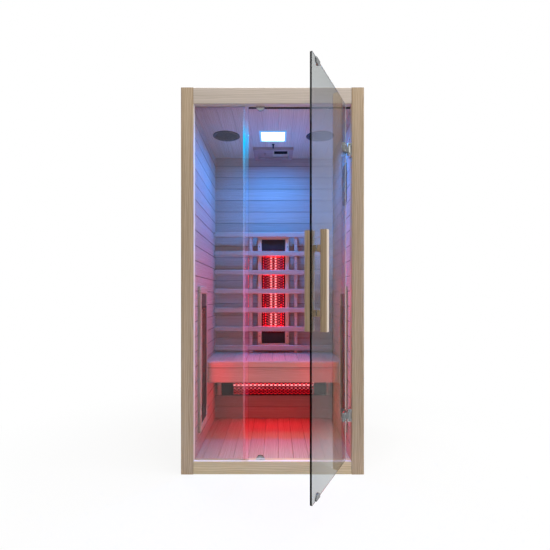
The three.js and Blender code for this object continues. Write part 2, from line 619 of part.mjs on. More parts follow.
// A half round steel clip over the glass edge, which meets a magnet when the door is shut
function addDoorCatch(name, edge, direction, leaf) {
  const x = -DOOR_REACH + CATCH_INSET;
  const slot = GLASS_THICKNESS / 2 + SEAT_GAP;
  const half = slot + CATCH_SHELL;
  const start = direction > 0 ? Math.PI / 2 : -Math.PI / 2;
  const shape = new THREE.Shape();
  shape.absarc(edge, x, CATCH_RADIUS, start, start + Math.PI);
  shape.lineTo(edge + direction * CATCH_CAP, x - direction * CATCH_RADIUS);
  shape.lineTo(edge + direction * CATCH_CAP, x + direction * CATCH_RADIUS);
  const inner = edge + direction * SEAT_GAP;
  const deep = edge - direction * (CATCH_RADIUS + PAST);
  const slotCutter = block(x - CATCH_RADIUS - PAST, x + CATCH_RADIUS + PAST, -slot, slot,
    Math.min(inner, deep), Math.max(inner, deep));
  addPiece(name, cut(prism(shape, "y", -half, half, ARC_STEPS), slotCutter), "chrome", leaf);
}

// Spacers on both sides of the glass and the bolt between them, turned about the door's normal
function addHandleBolt(name, height, leaf) {
  const glassFace = GLASS_THICKNESS / 2 + SEAT_GAP;
  const barFace = HANDLE_STANDOFF - HANDLE_SECTION / 2 - SEAT_GAP;
  const bolt = turned([
    [0, -barFace], [SPACER_RADIUS, -barFace], [SPACER_RADIUS, -glassFace], [BOLT_RADIUS, -glassFace],
    [BOLT_RADIUS, glassFace], [SPACER_RADIUS, glassFace], [SPACER_RADIUS, barFace], [0, barFace],
  ]);
  bolt.rotateX(Math.PI / 2);
  bolt.translate(-DOOR_REACH + HANDLE_INSET, 0, height);
  addPiece(name, bolt, "handleTimber", leaf);
}

function addDoor() {
  const door = new THREE.Group();
  door.position.set(HINGE_X, HINGE_Y, 0);
  door.rotation.z = THREE.MathUtils.degToRad(DOOR_OPEN_ANGLE);
  cabin.add(door);
  const leaf = new THREE.Group();
  leaf.position.y = HINGE_ADVANCE;
  door.add(leaf);

  const barX = -DOOR_REACH + HANDLE_INSET;
  const boltHeights = [1, -1].map((end) => HANDLE_CENTRE + end * HANDLE_BOLT_SPACING / 2);
  const outline = roundedRectangle(DOOR_BOTTOM, DOOR_TOP, -DOOR_REACH, -DOOR_EDGE, GLASS_CORNER);
  const pane = prism(outline, "y", -GLASS_THICKNESS / 2, GLASS_THICKNESS / 2);
  const drills = boltHeights.map((height) => {
    const drill = rod(BOLT_RADIUS + SEAT_GAP, -GLASS_THICKNESS, GLASS_THICKNESS);
    drill.rotateX(Math.PI / 2);
    return drill.translate(barX, 0, height);
  });
  addPiece("door_glass", cut(pane, ...drills), "glass", leaf);

  const hingeHeights = { upper: DOOR_TOP - HINGE_INSET, lower: DOOR_BOTTOM + HINGE_INSET };
  for (const [place, height] of Object.entries(hingeHeights)) {
    addHingeBracket(`${place}_hinge_bracket`, height);
    addHingeClamp(`${place}_hinge_clamp`, height, door);
  }

  for (const [name, side] of [["handle_outer_bar", -1], ["handle_inner_bar", 1]]) {
    const bar = prism(chamferedSquare(HANDLE_SECTION / 2, HANDLE_CHAMFER), "z",
      HANDLE_CENTRE - HANDLE_LENGTH / 2, HANDLE_CENTRE + HANDLE_LENGTH / 2);
    bar.translate(barX, side * HANDLE_STANDOFF, 0);
    addPiece(name, bar, "handleTimber", leaf);
  }
  addHandleBolt("upper_handle_bolt", boltHeights[0], leaf);
  addHandleBolt("lower_handle_bolt", boltHeights[1], leaf);

  addDoorCatch("upper_catch_plate", DOOR_TOP, 1, leaf);
  addDoorCatch("lower_catch_plate", DOOR_BOTTOM, -1, leaf);
  addFrameCatch("header_catch", OPENING_TOP, -1);
  addFrameCatch("sill_catch", SILL_HEIGHT, 1);
}

function addBench() {
  const boardBottom = BENCH_HEIGHT - BENCH_BOARD;
  const railBottom = BENCH_HEIGHT - BENCH_RAIL_HEIGHT;
  const seat = boardRow(-INNER_SIDE, INNER_SIDE, boardBottom, BENCH_HEIGHT, true);
  addPiece("bench_top", prism(seat, "y", BENCH_REAR_OF_RAIL, INNER_BACK), "hemlock");
  const rail = polygon([
    [BENCH_FRONT, railBottom], [BENCH_REAR_OF_RAIL, railBottom], [BENCH_REAR_OF_RAIL, BENCH_HEIGHT],
    [BENCH_FRONT + BENCH_NOSE, BENCH_HEIGHT], [BENCH_FRONT, BENCH_HEIGHT - BENCH_NOSE],
  ]);
  addPiece("bench_front_rail", prism(rail, "x", -INNER_SIDE, INNER_SIDE), "hemlock");
  const apron = block(-INNER_SIDE, INNER_SIDE, BENCH_REAR_OF_RAIL - APRON_THICKNESS, BENCH_REAR_OF_RAIL,
    railBottom - APRON_HEIGHT, railBottom);
  addPiece("bench_apron", apron, "hemlock");
  const inner = INNER_SIDE - CLEAT_SIZE;
  const cleats = polygon([
    [-INNER_SIDE, BENCH_REAR_OF_RAIL], [-inner, BENCH_REAR_OF_RAIL], [-inner, INNER_BACK - CLEAT_SIZE],
    [inner, INNER_BACK - CLEAT_SIZE], [inner, BENCH_REAR_OF_RAIL], [INNER_SIDE, BENCH_REAR_OF_RAIL],
    [INNER_SIDE, INNER_BACK], [-INNER_SIDE, INNER_BACK],
  ]);
  addPiece("bench_cleats", prism(cleats, "z", boardBottom - CLEAT_SIZE, boardBottom), "stud");
}

// Level slats with eased front edges, carried by two upright battens on the back wall
function addBackrest() {
  const slatFront = INNER_BACK - BACKREST_DEPTH;
  const slatBack = slatFront + SLAT_THICKNESS;
  const slatEnd = INNER_SIDE - SLAT_END_GAP;
  const firstSlat = BENCH_HEIGHT + SLAT_RISE;
  const battenTop = firstSlat + (SLAT_COUNT - 1) * SLAT_PITCH + SLAT_HEIGHT;
  const slats = Array.from({ length: SLAT_COUNT }, (_, i) => {
    const low = firstSlat + i * SLAT_PITCH;
    const high = low + SLAT_HEIGHT;
    const section = polygon([
      [slatFront, low + SLAT_EDGE], [slatFront + SLAT_EDGE, low], [slatBack, low],
      [slatBack, high], [slatFront + SLAT_EDGE, high], [slatFront, high - SLAT_EDGE],
    ]);
    return prism(section, "x", -slatEnd, slatEnd);
  });
  const battens = [-1, 1].map((side) => {
    const middle = side * BATTEN_OFFSET;
    return block(middle - BATTEN_WIDTH / 2, middle + BATTEN_WIDTH / 2,
      slatBack - SLAT_EDGE, INNER_BACK - SEAT_GAP, BENCH_HEIGHT + SEAT_GAP, battenTop);
  });
  addPiece("backrest", joined(...battens, ...slats), "hemlock");
}

// The hairpin axis of a heater tube, with all but two of its steps in the bend
class HairpinCurve extends THREE.Curve {
  constructor(spacing, start, apex, depth) {
    super();
    this.radius = spacing / 2;
    this.start = start;
    this.bend = apex - this.radius;
    this.depth = depth;
  }

  getUtoTmapping(u) {
    return u;
  }

  getPoint(t, target = new THREE.Vector3()) {
    const leg = 1 / HAIRPIN_STEPS;
    if (t < leg) {
      const height = THREE.MathUtils.lerp(this.start, this.bend, t / leg);
      return target.set(-this.radius, this.depth, height);
    }
    if (t > 1 - leg) {
      const height = THREE.MathUtils.lerp(this.bend, this.start, (t - 1 + leg) / leg);
      return target.set(this.radius, this.depth, height);
    }
    const turn = Math.PI * (t - leg) / (1 - 2 * leg);
    return target.set(-this.radius * Math.cos(turn), this.depth, this.bend + this.radius * Math.sin(turn));
  }
}

// The windows of an expanded metal sheet: rows of tall diamonds, every other row set half a diamond aside
// and ended by half diamonds. The shapes' own axes are Z and X.
function diamondMesh(halfWidth, low, high) {
  const halfPitch = halfWidth / GUARD_COLUMNS;
  const rise = (high - low) / GUARD_ROWS;
  const inner = halfPitch * rise / Math.hypot(halfPitch, rise);
  const shrink = 1 - GUARD_STRAND / 2 / inner;
  const across = halfPitch * shrink;
  const along = rise * shrink;
  const windows = [];
  for (let row = 1; row < GUARD_ROWS; row += 1) {
    const z = low + row * rise;
    const first = row % 2 ? halfPitch - halfWidth : 2 * halfPitch - halfWidth;
    const count = row % 2 ? GUARD_COLUMNS : GUARD_COLUMNS - 1;
    for (let column = 0; column < count; column += 1) {
      const x = first + column * 2 * halfPitch;
      windows.push(polygon([[z - along, x], [z, x + across], [z + along, x], [z, x - across]]));
    }
    if (count < GUARD_COLUMNS) {
      windows.push(polygon([[z - along, -halfWidth], [z, across - halfWidth], [z + along, -halfWidth]]));
      windows.push(polygon([[z - along, halfWidth], [z + along, halfWidth], [z, halfWidth - across]]));
    }
  }
  return windows;
}

// One heater in its own frame: the wall is the plane y = 0, the room is towards -Y and Z runs along it
function addHeater(name, place) {
  const heater = new THREE.Group();
  place(heater);
  cabin.add(heater);
  const half = HEATER_WIDTH / 2;
  const face = -SEAT_GAP - HEATER_DEPTH;
  const far = HEATER_LENGTH - HEATER_END;

  const trough = new THREE.Shape();
  trough.absellipse(0, face, TROUGH_WIDTH / 2, TROUGH_DEPTH, 0, Math.PI);
  trough.lineTo(-TROUGH_WIDTH / 2, face - PAST);
  trough.lineTo(TROUGH_WIDTH / 2, face - PAST);
  const shell = block(-half, half, face, -SEAT_GAP, 0, HEATER_LENGTH);
  const housing = cut(shell, prism(trough, "z", HEATER_END, far, ARC_STEPS));
  addPiece(`${name}_housing`, housing, "blackEnamel", heater);

  const apex = far - SEAT_GAP - TUBE_RADIUS;
  const axis = new HairpinCurve(TUBE_SPACING, HEATER_END + SEAT_GAP, apex, face + TUBE_DEPTH);
  const section = polygon(Array.from({ length: TUBE_SIDES }, (_, i) => {
    const angle = 2 * Math.PI * i / TUBE_SIDES;
    return [TUBE_RADIUS * Math.cos(angle), TUBE_RADIUS * Math.sin(angle)];
  }));
  const tube = new THREE.ExtrudeGeometry(section, { steps: HAIRPIN_STEPS, extrudePath: axis });
  addPiece(`${name}_tube`, tube, "quartz", heater);

  const guardHalf = half - GUARD_MARGIN;
  const guardLow = HEATER_END - GUARD_LAP;
  const guardHigh = far + GUARD_LAP;
  const guardBack = face - SEAT_GAP;
  const guardFront = guardBack - GUARD_THICKNESS;
  const sheet = block(-guardHalf, guardHalf, guardFront, guardBack, guardLow, guardHigh);
  const mesh = diamondMesh(guardHalf - GUARD_EDGE, guardLow + GUARD_EDGE, guardHigh - GUARD_EDGE);
  const windows = mesh.map((window) => prism(window, "y", guardFront - PAST, guardBack + PAST));
  addPiece(`${name}_guard`, cut(sheet, ...windows), "redSteel", heater);
}

function addHeaters() {
  const quarter = Math.PI / 2;
  addHeater("back_heater", (heater) => {
    heater.position.set(0, INNER_BACK, BENCH_HEIGHT + BACK_HEATER_RISE);
  });
  addHeater("bench_heater", (heater) => {
    heater.position.set(-HEATER_LENGTH / 2, INNER_BACK, BENCH_HEATER_RISE + HEATER_WIDTH / 2);
    heater.rotation.y = quarter;
  });
  addHeater("left_heater", (heater) => {
    heater.position.set(-INNER_SIDE - SIDE_HEATER_RECESS, SIDE_HEATER_MIDDLE, SIDE_HEATER_RISE);
    heater.rotation.z = quarter;
  });
  addHeater("right_heater", (heater) => {
    heater.position.set(INNER_SIDE + SIDE_HEATER_RECESS, SIDE_HEATER_MIDDLE, SIDE_HEATER_RISE);
    heater.rotation.z = -quarter;
  });
}

function addSpeakers() {
  const seat = CEILING_HEIGHT - SEAT_GAP;
  const rim = seat - SPEAKER_FLANGE;
  const dome = Array.from({ length: DOME_RINGS + 1 }, (_, i) => {
    const share = i / DOME_RINGS;
    return [SPEAKER_BODY_RADIUS * share, rim - SPEAKER_DOME * (1 - share * share)];
  });
  for (const [name, side] of [["left_speaker", -1], ["right_speaker", 1]]) {
    const speaker = turned([
      ...dome, [SPEAKER_RADIUS - SPEAKER_FLANGE, rim], [SPEAKER_RADIUS, rim + SPEAKER_FLANGE / 2],
      [SPEAKER_RADIUS, seat], [SPEAKER_BODY_RADIUS, seat], [SPEAKER_BODY_RADIUS, CEILING_TOP],
      [SPEAKER_BODY_RADIUS / 2, CEILING_TOP + SPEAKER_BODY_DEPTH], [0, CEILING_TOP + SPEAKER_BODY_DEPTH],
    ], ROUND_LARGE);
    speaker.translate(side * SPEAKER_OFFSET, SPEAKER_Y, 0);
    addPiece(name, speaker, "speakerGrille");
  }
}

function addColourLight() {
  const square = (half, z0, z1) => block(-half, half, LIGHT_Y - half, LIGHT_Y + half, z0, z1);
  const seat = CEILING_HEIGHT - SEAT_GAP;
  const rim = seat - LIGHT_FLANGE;
  const top = CEILING_HEIGHT + LIGHT_BODY_HEIGHT;
  const mouth = LIGHT_BODY / 2 - LIGHT_WALL;
  const shell = joined(square(LIGHT_SIZE / 2, rim, seat), square(LIGHT_BODY / 2, rim, top));
  addPiece("light_frame", cut(shell, square(mouth, rim - PAST, top - LIGHT_WALL)), "lightFrame");
  const pane = rim + DIFFUSER_RECESS;
  addPiece("light_diffuser", square(mouth - SEAT_GAP, pane, pane + DIFFUSER_THICKNESS), "diffuser");
}

function addProbe() {
  const seat = CEILING_HEIGHT - SEAT_GAP;
  const tip = seat - PROBE_LENGTH;
  const probe = turned([
    [0, tip], [PROBE_RADIUS / 2, tip], [PROBE_RADIUS, tip + PROBE_RADIUS / 2],
    [PROBE_RADIUS, seat - PROBE_FLANGE], [PROBE_FLANGE_RADIUS, seat - PROBE_FLANGE],
    [PROBE_FLANGE_RADIUS, seat], [0, seat],
  ]);
  probe.translate(0, PROBE_Y, 0);
  addPiece("temperature_probe", probe, "blackEnamel");
}

// A flat touch panel on the right wall: a bezel with a raised sheet of dark glass
function addControlPanel() {
  const y = FRONT + PANEL_SETBACK;
  const halfWidth = PANEL_WIDTH / 2;
  const halfHeight = PANEL_HEIGHT / 2;
  const plate = (inset, x0, x1) => prism(roundedRectangle(y - halfWidth + inset, y + halfWidth - inset,
    PANEL_CENTRE - halfHeight + inset, PANEL_CENTRE + halfHeight - inset, PANEL_CORNER - inset), "x", x0, x1);
  const back = INNER_SIDE - SEAT_GAP;
  const bezel = plate(0, back - PANEL_THICKNESS, back);
  const glass = plate(PANEL_BORDER, back - PANEL_THICKNESS - PANEL_GLASS, back - PANEL_THICKNESS / 2);
  addPiece("control_panel", joined(bezel, glass), "darkGlass");
}

function addVent() {
  const halfWidth = VENT_WIDTH / 2;
  const halfLength = VENT_LENGTH / 2;
  const seat = CEILING_HEIGHT - SEAT_GAP;
  const bottom = seat - VENT_THICKNESS;
  const innerWidth = halfWidth - VENT_BORDER;
  const innerLength = halfLength - VENT_BORDER;
  const across = (half, length, z0, z1) => {
    return block(-half, half, VENT_MIDDLE - length, VENT_MIDDLE + length, z0, z1);
  };
  const board = across(halfWidth, halfLength, bottom, seat);
  const mouth = across(innerWidth, innerLength, bottom - PAST, seat + PAST);
  const trackFloor = seat - SLIDER_THICKNESS - 2 * SEAT_GAP;
  const track = across(innerWidth + SLIDER_TONGUE, innerLength + SLIDER_TONGUE, trackFloor, seat + PAST);
  addPiece("vent_frame", cut(board, mouth, track), "hemlock");

  const left = -innerWidth - SLIDER_TONGUE + SEAT_GAP;
  const reach = innerLength + SLIDER_TONGUE - SEAT_GAP;
  const low = trackFloor + SEAT_GAP;
  const plate = block(left, left + SLIDER_WIDTH, VENT_MIDDLE - reach, VENT_MIDDLE + reach,
    low, low + SLIDER_THICKNESS);
  const knob = rod(SLIDER_KNOB_RADIUS, low - SLIDER_KNOB_LENGTH, low + PAST);
  knob.translate(left + SLIDER_WIDTH / 2, VENT_MIDDLE, 0);
  addPiece("vent_slider", joined(plate, knob), "hemlock");
}

addFloor();
addSideWall("left", -1);
addSideWall("right", 1);
addBackWall();
addRoof();
addFrontFrame();
addDoor();
addBench();
addBackrest();
addHeaters();
addSpeakers();
addColourLight();
addProbe();
addControlPanel();
addVent();

export default cabin;
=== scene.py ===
"""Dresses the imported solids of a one-person infrared sauna cabin with timber, glass, heaters and fittings."""

import json
import math
from functools import partialmethod

import bmesh
import bpy
from bpy.props import FloatProperty, FloatVectorProperty, IntProperty, PointerProperty
from mathutils import Matrix, Vector


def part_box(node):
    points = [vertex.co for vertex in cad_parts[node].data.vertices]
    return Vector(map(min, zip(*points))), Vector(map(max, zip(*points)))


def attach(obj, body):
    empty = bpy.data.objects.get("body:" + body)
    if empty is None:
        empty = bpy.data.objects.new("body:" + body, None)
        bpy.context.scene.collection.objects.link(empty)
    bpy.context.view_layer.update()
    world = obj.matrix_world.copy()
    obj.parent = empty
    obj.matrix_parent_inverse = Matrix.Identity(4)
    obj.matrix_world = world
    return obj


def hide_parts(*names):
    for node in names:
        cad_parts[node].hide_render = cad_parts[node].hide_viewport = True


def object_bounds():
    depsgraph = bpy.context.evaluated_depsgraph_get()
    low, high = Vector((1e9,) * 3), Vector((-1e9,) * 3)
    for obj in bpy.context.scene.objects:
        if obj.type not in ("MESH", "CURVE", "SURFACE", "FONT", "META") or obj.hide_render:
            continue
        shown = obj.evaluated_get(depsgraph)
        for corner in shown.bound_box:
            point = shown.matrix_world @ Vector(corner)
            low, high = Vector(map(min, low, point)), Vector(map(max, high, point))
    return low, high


bl_info = {
    "name": "Infrared sauna cabin",
    "version": (1, 0, 0),
    "blender": (4, 5, 0),
    "location": "View3D > Sidebar > Sauna",
    "description": "Timber, glass, heaters and fittings round the solids of an infrared sauna cabin",
    "category": "Object",
}

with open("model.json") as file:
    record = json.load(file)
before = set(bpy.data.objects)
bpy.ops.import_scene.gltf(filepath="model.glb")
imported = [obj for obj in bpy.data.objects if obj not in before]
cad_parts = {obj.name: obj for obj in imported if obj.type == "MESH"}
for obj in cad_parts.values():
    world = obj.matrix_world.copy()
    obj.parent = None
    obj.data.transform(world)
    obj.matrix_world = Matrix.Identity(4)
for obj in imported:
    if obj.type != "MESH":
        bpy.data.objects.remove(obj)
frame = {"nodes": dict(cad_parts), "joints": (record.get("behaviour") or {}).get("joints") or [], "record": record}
CAD_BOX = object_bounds()
NODES = frame["nodes"]
WHITE = (1.0, 1.0, 1.0)

# The photograph's camera: straight on, a little below the middle of the cabin
CAMERA_PLACE = (0.016, -2.467, 0.876)
CAMERA_LENS = 26.9
CAMERA_SENSOR = 36.0
CAMERA_SHIFT = (-0.0013, 0.0382)

# The studio's lamps: where each stands, its size and what it looks at
STUDIO_LAMPS = {
    "key": ((0.3, -0.75, 3.2), (1.4, 0.35), (0, -0.45, 1.0)),
    "side": ((3.0, -1.1, 1.6), (0.8, 1.6), (0, -0.45, 1.0)),
    "rear": ((-2.2, 2.4, 2.2), (1.6, 1.6), (0, 0, 1.0)),
}
SOFT_CARD = 0.42  # how bright the cards are in the soft reflections of metal and timber
CARD_TOP = 4.0  # height of the cards' upright parts
FILL_INSET = 0.05  # how far behind the front the light on the floor's front edge hangs
FILL_DROP = 0.12  # how far below the ceiling it hangs
FILL_DEPTH = 0.04
FILL_SPREAD = math.radians(22)
FILL_COLOUR = (0.62, 0.95, 1.0)

# Each wood's use, with its early wood and its late wood in linear light
WOODS = {
    "lining": ("the floor, bench and backrest", (0.57, 0.435, 0.365), (0.44, 0.315, 0.245)),
    "side": ("the side walls", (0.60, 0.49, 0.45), (0.465, 0.36, 0.31)),
    "back": ("the back wall", (0.505, 0.365, 0.32), (0.39, 0.265, 0.22)),
    # Painted light: the ceiling's wood is a paler copy of the lining, to brighten the ceiling and the heaters'
    # borders
    "ceiling": ("the ceiling and the heaters' borders", (0.65, 0.54, 0.44), (0.50, 0.395, 0.30)),
    "frame": ("the stiles of the front", (0.565, 0.439, 0.307), (0.367, 0.26, 0.162)),
    "header": ("the beam over the door", (0.599, 0.514, 0.45), (0.452, 0.384, 0.314)),
    "sill": ("the beam below the door", (0.739, 0.594, 0.377), (0.526, 0.392, 0.233)),
    # The strips' pale wood is a painted highlight on the lit faces of the opening
    "strip": ("the strips in the opening", (0.912, 0.848, 0.784), (0.806, 0.721, 0.647)),
    "handle": ("the door's handle", (0.545, 0.392, 0.234), (0.349, 0.234, 0.125)),
    "cladding": ("the outside and the roof", (0.53, 0.429, 0.323), (0.387, 0.302, 0.212)),
    "vent": ("the vent in the ceiling", (0.46, 0.31, 0.27), (0.36, 0.23, 0.19)),
}
ONE_BOARD = 4.0  # a board pitch past any piece's size, for pieces cut from one board
SLAT_PITCH = 0.1288  # from one slat of the backrest to the next
SLAT_START = 0.03  # how far below the lowest slat its board starts
# Painted shade: the seams between boards are darkened, where the grooves fall into shade
SEAM_BLUR = 0.001  # width over which a seam's shade fades
BOARD_LIGHT = (0.955, 1.045)  # the darkest and the palest board
WOOD_ROUGHNESS = (0.46, 0.66)  # of early wood and of late wood
WOOD_RELIEF = (0.25, 0.0004)  # strength and depth of the grain
MOTTLE_DEPTH = 0.0003  # depth of the relief on moulded and sprayed finishes
WOOD_GLOSS, WALL_GLOSS, HANDLE_GLOSS = 0.2, 0.3, 0.5
FACE_LEAN = 0.8  # a pane's surface that leans further than this from its face is a cut edge

# Each heater's long axis, the way that it faces and the lining that it sits on
HEATERS = {
    "back": (Vector((0, 0, 1)), Vector((0, -1, 0)), "back_wall_lining"),
    "bench": (Vector((1, 0, 0)), Vector((0, -1, 0)), "back_wall_lining"),
    "left": (Vector((0, 0, 1)), Vector((1, 0, 0)), "left_wall_lining"),
    "right": (Vector((0, 0, 1)), Vector((-1, 0, 0)), "right_wall_lining"),
}
BENCH_LEAN = math.radians(28)  # how far the light below the bench is turned to the floor
SURROUND_GAP = 0.0006  # round a heater's wooden border
SURROUND_FRONT = 0.0046  # from a heater's face to the front of its border
SURROUND_EASE = 0.0045  # rounding of the border's edges
STRAND_LEAN = math.radians(52)  # how far a guard's strands are turned out of its sheet
GUARD_RIM = 0.006
LIGHT_SPREAD = math.radians(168)  # the colour light throws most of its light down
LIGHT_SIDE = 0.13
THIN_EASE = 0.0004  # rounding of the edges of thin strips

# The door as it rests: ajar by as much as its hinge can close
DOOR_HINGE = next(joint for joint in frame["joints"] if joint["name"] == "door_hinge")
DOOR_ANGLE = math.radians(-DOOR_HINGE["range_deg"][0])
DOOR_ALONG = Vector((-math.cos(DOOR_ANGLE), -math.sin(DOOR_ANGLE), 0))
DOOR_OUTWARDS = Vector((math.sin(DOOR_ANGLE), -math.cos(DOOR_ANGLE), 0))
HINGE_PIN = Vector(DOOR_HINGE["pos_m"])
GLASS_SETBACK = 0.015  # from the hinge pin to the middle of the door's glass


def setting(kind, **fixed):
    """A maker of one kind of property, from its name, its description and its default."""
    def made(name, description, default):
        return kind(name=name, description=description, default=default, **fixed)
    return made


tone = setting(FloatVectorProperty, subtype="COLOR", size=3, min=0.0, max=1.0)
length = setting(FloatProperty, unit="LENGTH", min=0.0)
power = setting(FloatProperty, unit="POWER", min=0.0)
share = setting(FloatProperty, subtype="FACTOR", min=0.0, max=1.0)
count = setting(IntProperty, min=4)


class SaunaTimber(bpy.types.PropertyGroup):
    """Woods of the cabin."""

    # Painted highlight: a paler colour for the handle's outward faces, where the light falls
    painted_outward_light: tone("Handle, sapwood", "Pale wood on the handle's outward faces", (0.807, 0.698, 0.61))
    board_pitch: length("Board pitch", "From one board seam to the next", 0.08)
    # The seam's width is that of the painted shade between two boards
    seam: length("Seam", "Width of the shaded seam between two boards", 0.0036)


for wood, (use, pale, dark) in WOODS.items():
    SaunaTimber.__annotations__.update({
        f"{wood}_pale": tone(f"{wood.capitalize()}, early wood", f"Pale wood of {use}", pale),
        f"{wood}_dark": tone(f"{wood.capitalize()}, late wood", f"Darker streaks of {use}", dark),
    })


class SaunaGlass(bpy.types.PropertyGroup):
    """Glass of the door and the fixed pane."""

    tint: tone("Tint", "What the glass lets through, seen straight on", (0.82, 0.84, 0.84))
    slant_tint: tone("Slant tint", "What the glass lets through, seen at a low angle", (0.43, 0.45, 0.44))
    edge: tone("Edge", "Cut edges of the panes", (0.04, 0.06, 0.065))


class SaunaHeater(bpy.types.PropertyGroup):
    """Heaters behind the expanded metal guards."""

    mesh_columns: count("Mesh columns", "Half diamonds across a guard", 8)
    mesh_rows: count("Mesh rows", "Half diamonds along a guard", 64)
    bench_columns: count("Bench mesh columns", "Half diamonds across the guard below the bench", 14)
    bench_rows: count("Bench mesh rows", "Half diamonds along that guard", 40)
    strand: length("Strand", "Width of the mesh's strands", 0.0052)
    sheet: length("Sheet", "Thickness of the mesh's sheet", 0.001)
    border: length("Surround", "Width of the wooden border beside a heater", 0.028)
    end_border: length("Surround, ends", "Width of the wooden border above and below a heater", 0.040)
    glow: tone("Glow", "Light of the tubes", (1.0, 0.012, 0.03))
    back_power: power("Back power", "Light of the back heater", 3.4)
    bench_power: power("Bench power", "Light below the bench", 2.05)
    side_power: power("Side power", "Light of a side heater", 1.5)


class SaunaCeiling(bpy.types.PropertyGroup):
    """Light and speakers in the ceiling."""

    glow: tone("Colour light", "Light below the diffuser", (0.0, 0.26, 1.0))
    light_power: power("Light power", "Light below the diffuser", 12.5)
    spill: power("Spill", "Light on the ceiling round the diffuser", 2.0)
    grille_pitch: length("Grille pitch", "From one hole of the speaker grilles to the next", 0.005)
    grille_open: share("Open share", "Size of a hole against its cell", 0.66)


class SaunaStage(bpy.types.PropertyGroup):
    """Studio round the cabin."""

    ambient: tone("Soft light", "Even light from all sides", (0.465, 0.465, 0.465))
    key_power: power("Key power", "Long lamp above the front", 40.0)
    side_power: power("Side power", "Tall lamp on the right", 42.0)
    floor_power: power("Floor power", "Daylight on the front of the floor", 0.36)
    rear_power: power("Rear power", "Square lamp behind the cabin", 46.0)
    top_card: share("Card, top", "Brightness of the upper cards", 0.04)
    door_card: share("Door card, bottom", "Brightness of the low card beside the door", 1.0)
    pane_card: share("Pane card, bottom", "Brightness of the low card in front of the pane", 0.85)


GROUPS = {
    "sauna_timber": SaunaTimber,
    "sauna_glass": SaunaGlass,
    "sauna_heater": SaunaHeater,
    "sauna_ceiling": SaunaCeiling,
    "sauna_stage": SaunaStage,
}


class Value:
    """An output in a node tree that can be reckoned with in plain arithmetic."""

    def __init__(self, tree, socket):
        self.tree = tree
        self.socket = socket

    def reckon(self, operation, *others):
        """What a Math node makes of this value and others."""
        return flow(self.tree, "ShaderNodeMath", dict(enumerate((self, *others))), operation=operation)

    __add__ = partialmethod(reckon, "ADD")
    __sub__ = partialmethod(reckon, "SUBTRACT")
    __mul__ = partialmethod(reckon, "MULTIPLY")
    __truediv__ = partialmethod(reckon, "DIVIDE")
    __lt__ = partialmethod(reckon, "LESS_THAN")


def feed(node, inputs):
    """Sets values or links on a node's inputs. A colour of three numbers is made opaque."""
    for key, value in inputs.items():
        socket = node.inputs[key]
        if isinstance(value, Value):
            value.tree.links.new(value.socket, socket)
        elif socket.type == "RGBA" and len(value) == 3:
            socket.default_value = (*value, 1.0)
        else:
            socket.default_value = value
    return node


def put(tree, kind, inputs=None, **settings):
    """Adds a node, with its settings and with values or links on its inputs."""
    node = tree.nodes.new(kind)
    for key, value in settings.items():
        setattr(node, key, value)
    return feed(node, inputs or {})


def outs(node):
    """A node's outputs by name."""
    return {socket.name: Value(node.id_data, socket) for socket in node.outputs}


def flow(tree, kind, inputs=None, output=0, **settings):
    """One output of a new node, by its place or its name."""
    return Value(tree, put(tree, kind, inputs, **settings).outputs[output])


def triple(*values):
    """A vector of three values."""
    tree = next(value.tree for value in values if isinstance(value, Value))
    return flow(tree, "ShaderNodeCombineXYZ", dict(enumerate(values)))


def axes(vector):
    """A vector's coordinates, by axis."""
    return outs(put(vector.tree, "ShaderNodeSeparateXYZ", {0: vector}))


def spot(tree, kind="Object"):
    """Where a point is on its piece, or which way the surface faces there."""
    return flow(tree, "ShaderNodeTexCoord", None, kind)


def measure(operation, *vectors):
    """A number from vectors, such as a length."""
    return flow(vectors[0].tree, "ShaderNodeVectorMath", dict(enumerate(vectors)), "Value",
                operation=operation)


def mapped(value, *limits):
    """A value taken from one range, which is given first, to another, which is 0 to 1 unless given."""
    return flow(value.tree, "ShaderNodeMapRange", dict(enumerate((value, *limits))))


def noise(vector, scale, detail=2.0, roughness=0.5):
    """Cloudy noise."""
    return flow(vector.tree, "ShaderNodeTexNoise", {
        "Vector": vector, "Scale": scale, "Detail": detail, "Roughness": roughness})


def blend(factor, low, high):
    """A colour between two colours."""
    return flow(factor.tree, "ShaderNodeMix", {0: factor, 6: low, 7: high}, 2, data_type="RGBA")


def layered(factor, under, over):
    """One shader over another."""
    return flow(factor.tree, "ShaderNodeMixShader", {0: factor, 1: under, 2: over})


def node_tree(name, family, inputs, outputs):
    """A new tree of shader or geometry nodes, the node that takes its outputs, and its inputs in order. Each
    socket is written as its kind and its name."""
    tree = bpy.data.node_groups.new(name, f"{family}NodeTree")
    for way, sockets in (("INPUT", inputs), ("OUTPUT", outputs)):
        for kind, label in (socket.split(" ", 1) for socket in sockets):
            tree.interface.new_socket(label, in_out=way, socket_type=f"NodeSocket{kind}")
    given = put(tree, "NodeGroupInput").outputs
    return tree, put(tree, "NodeGroupOutput"), [Value(tree, given[i]) for i in range(len(inputs))]


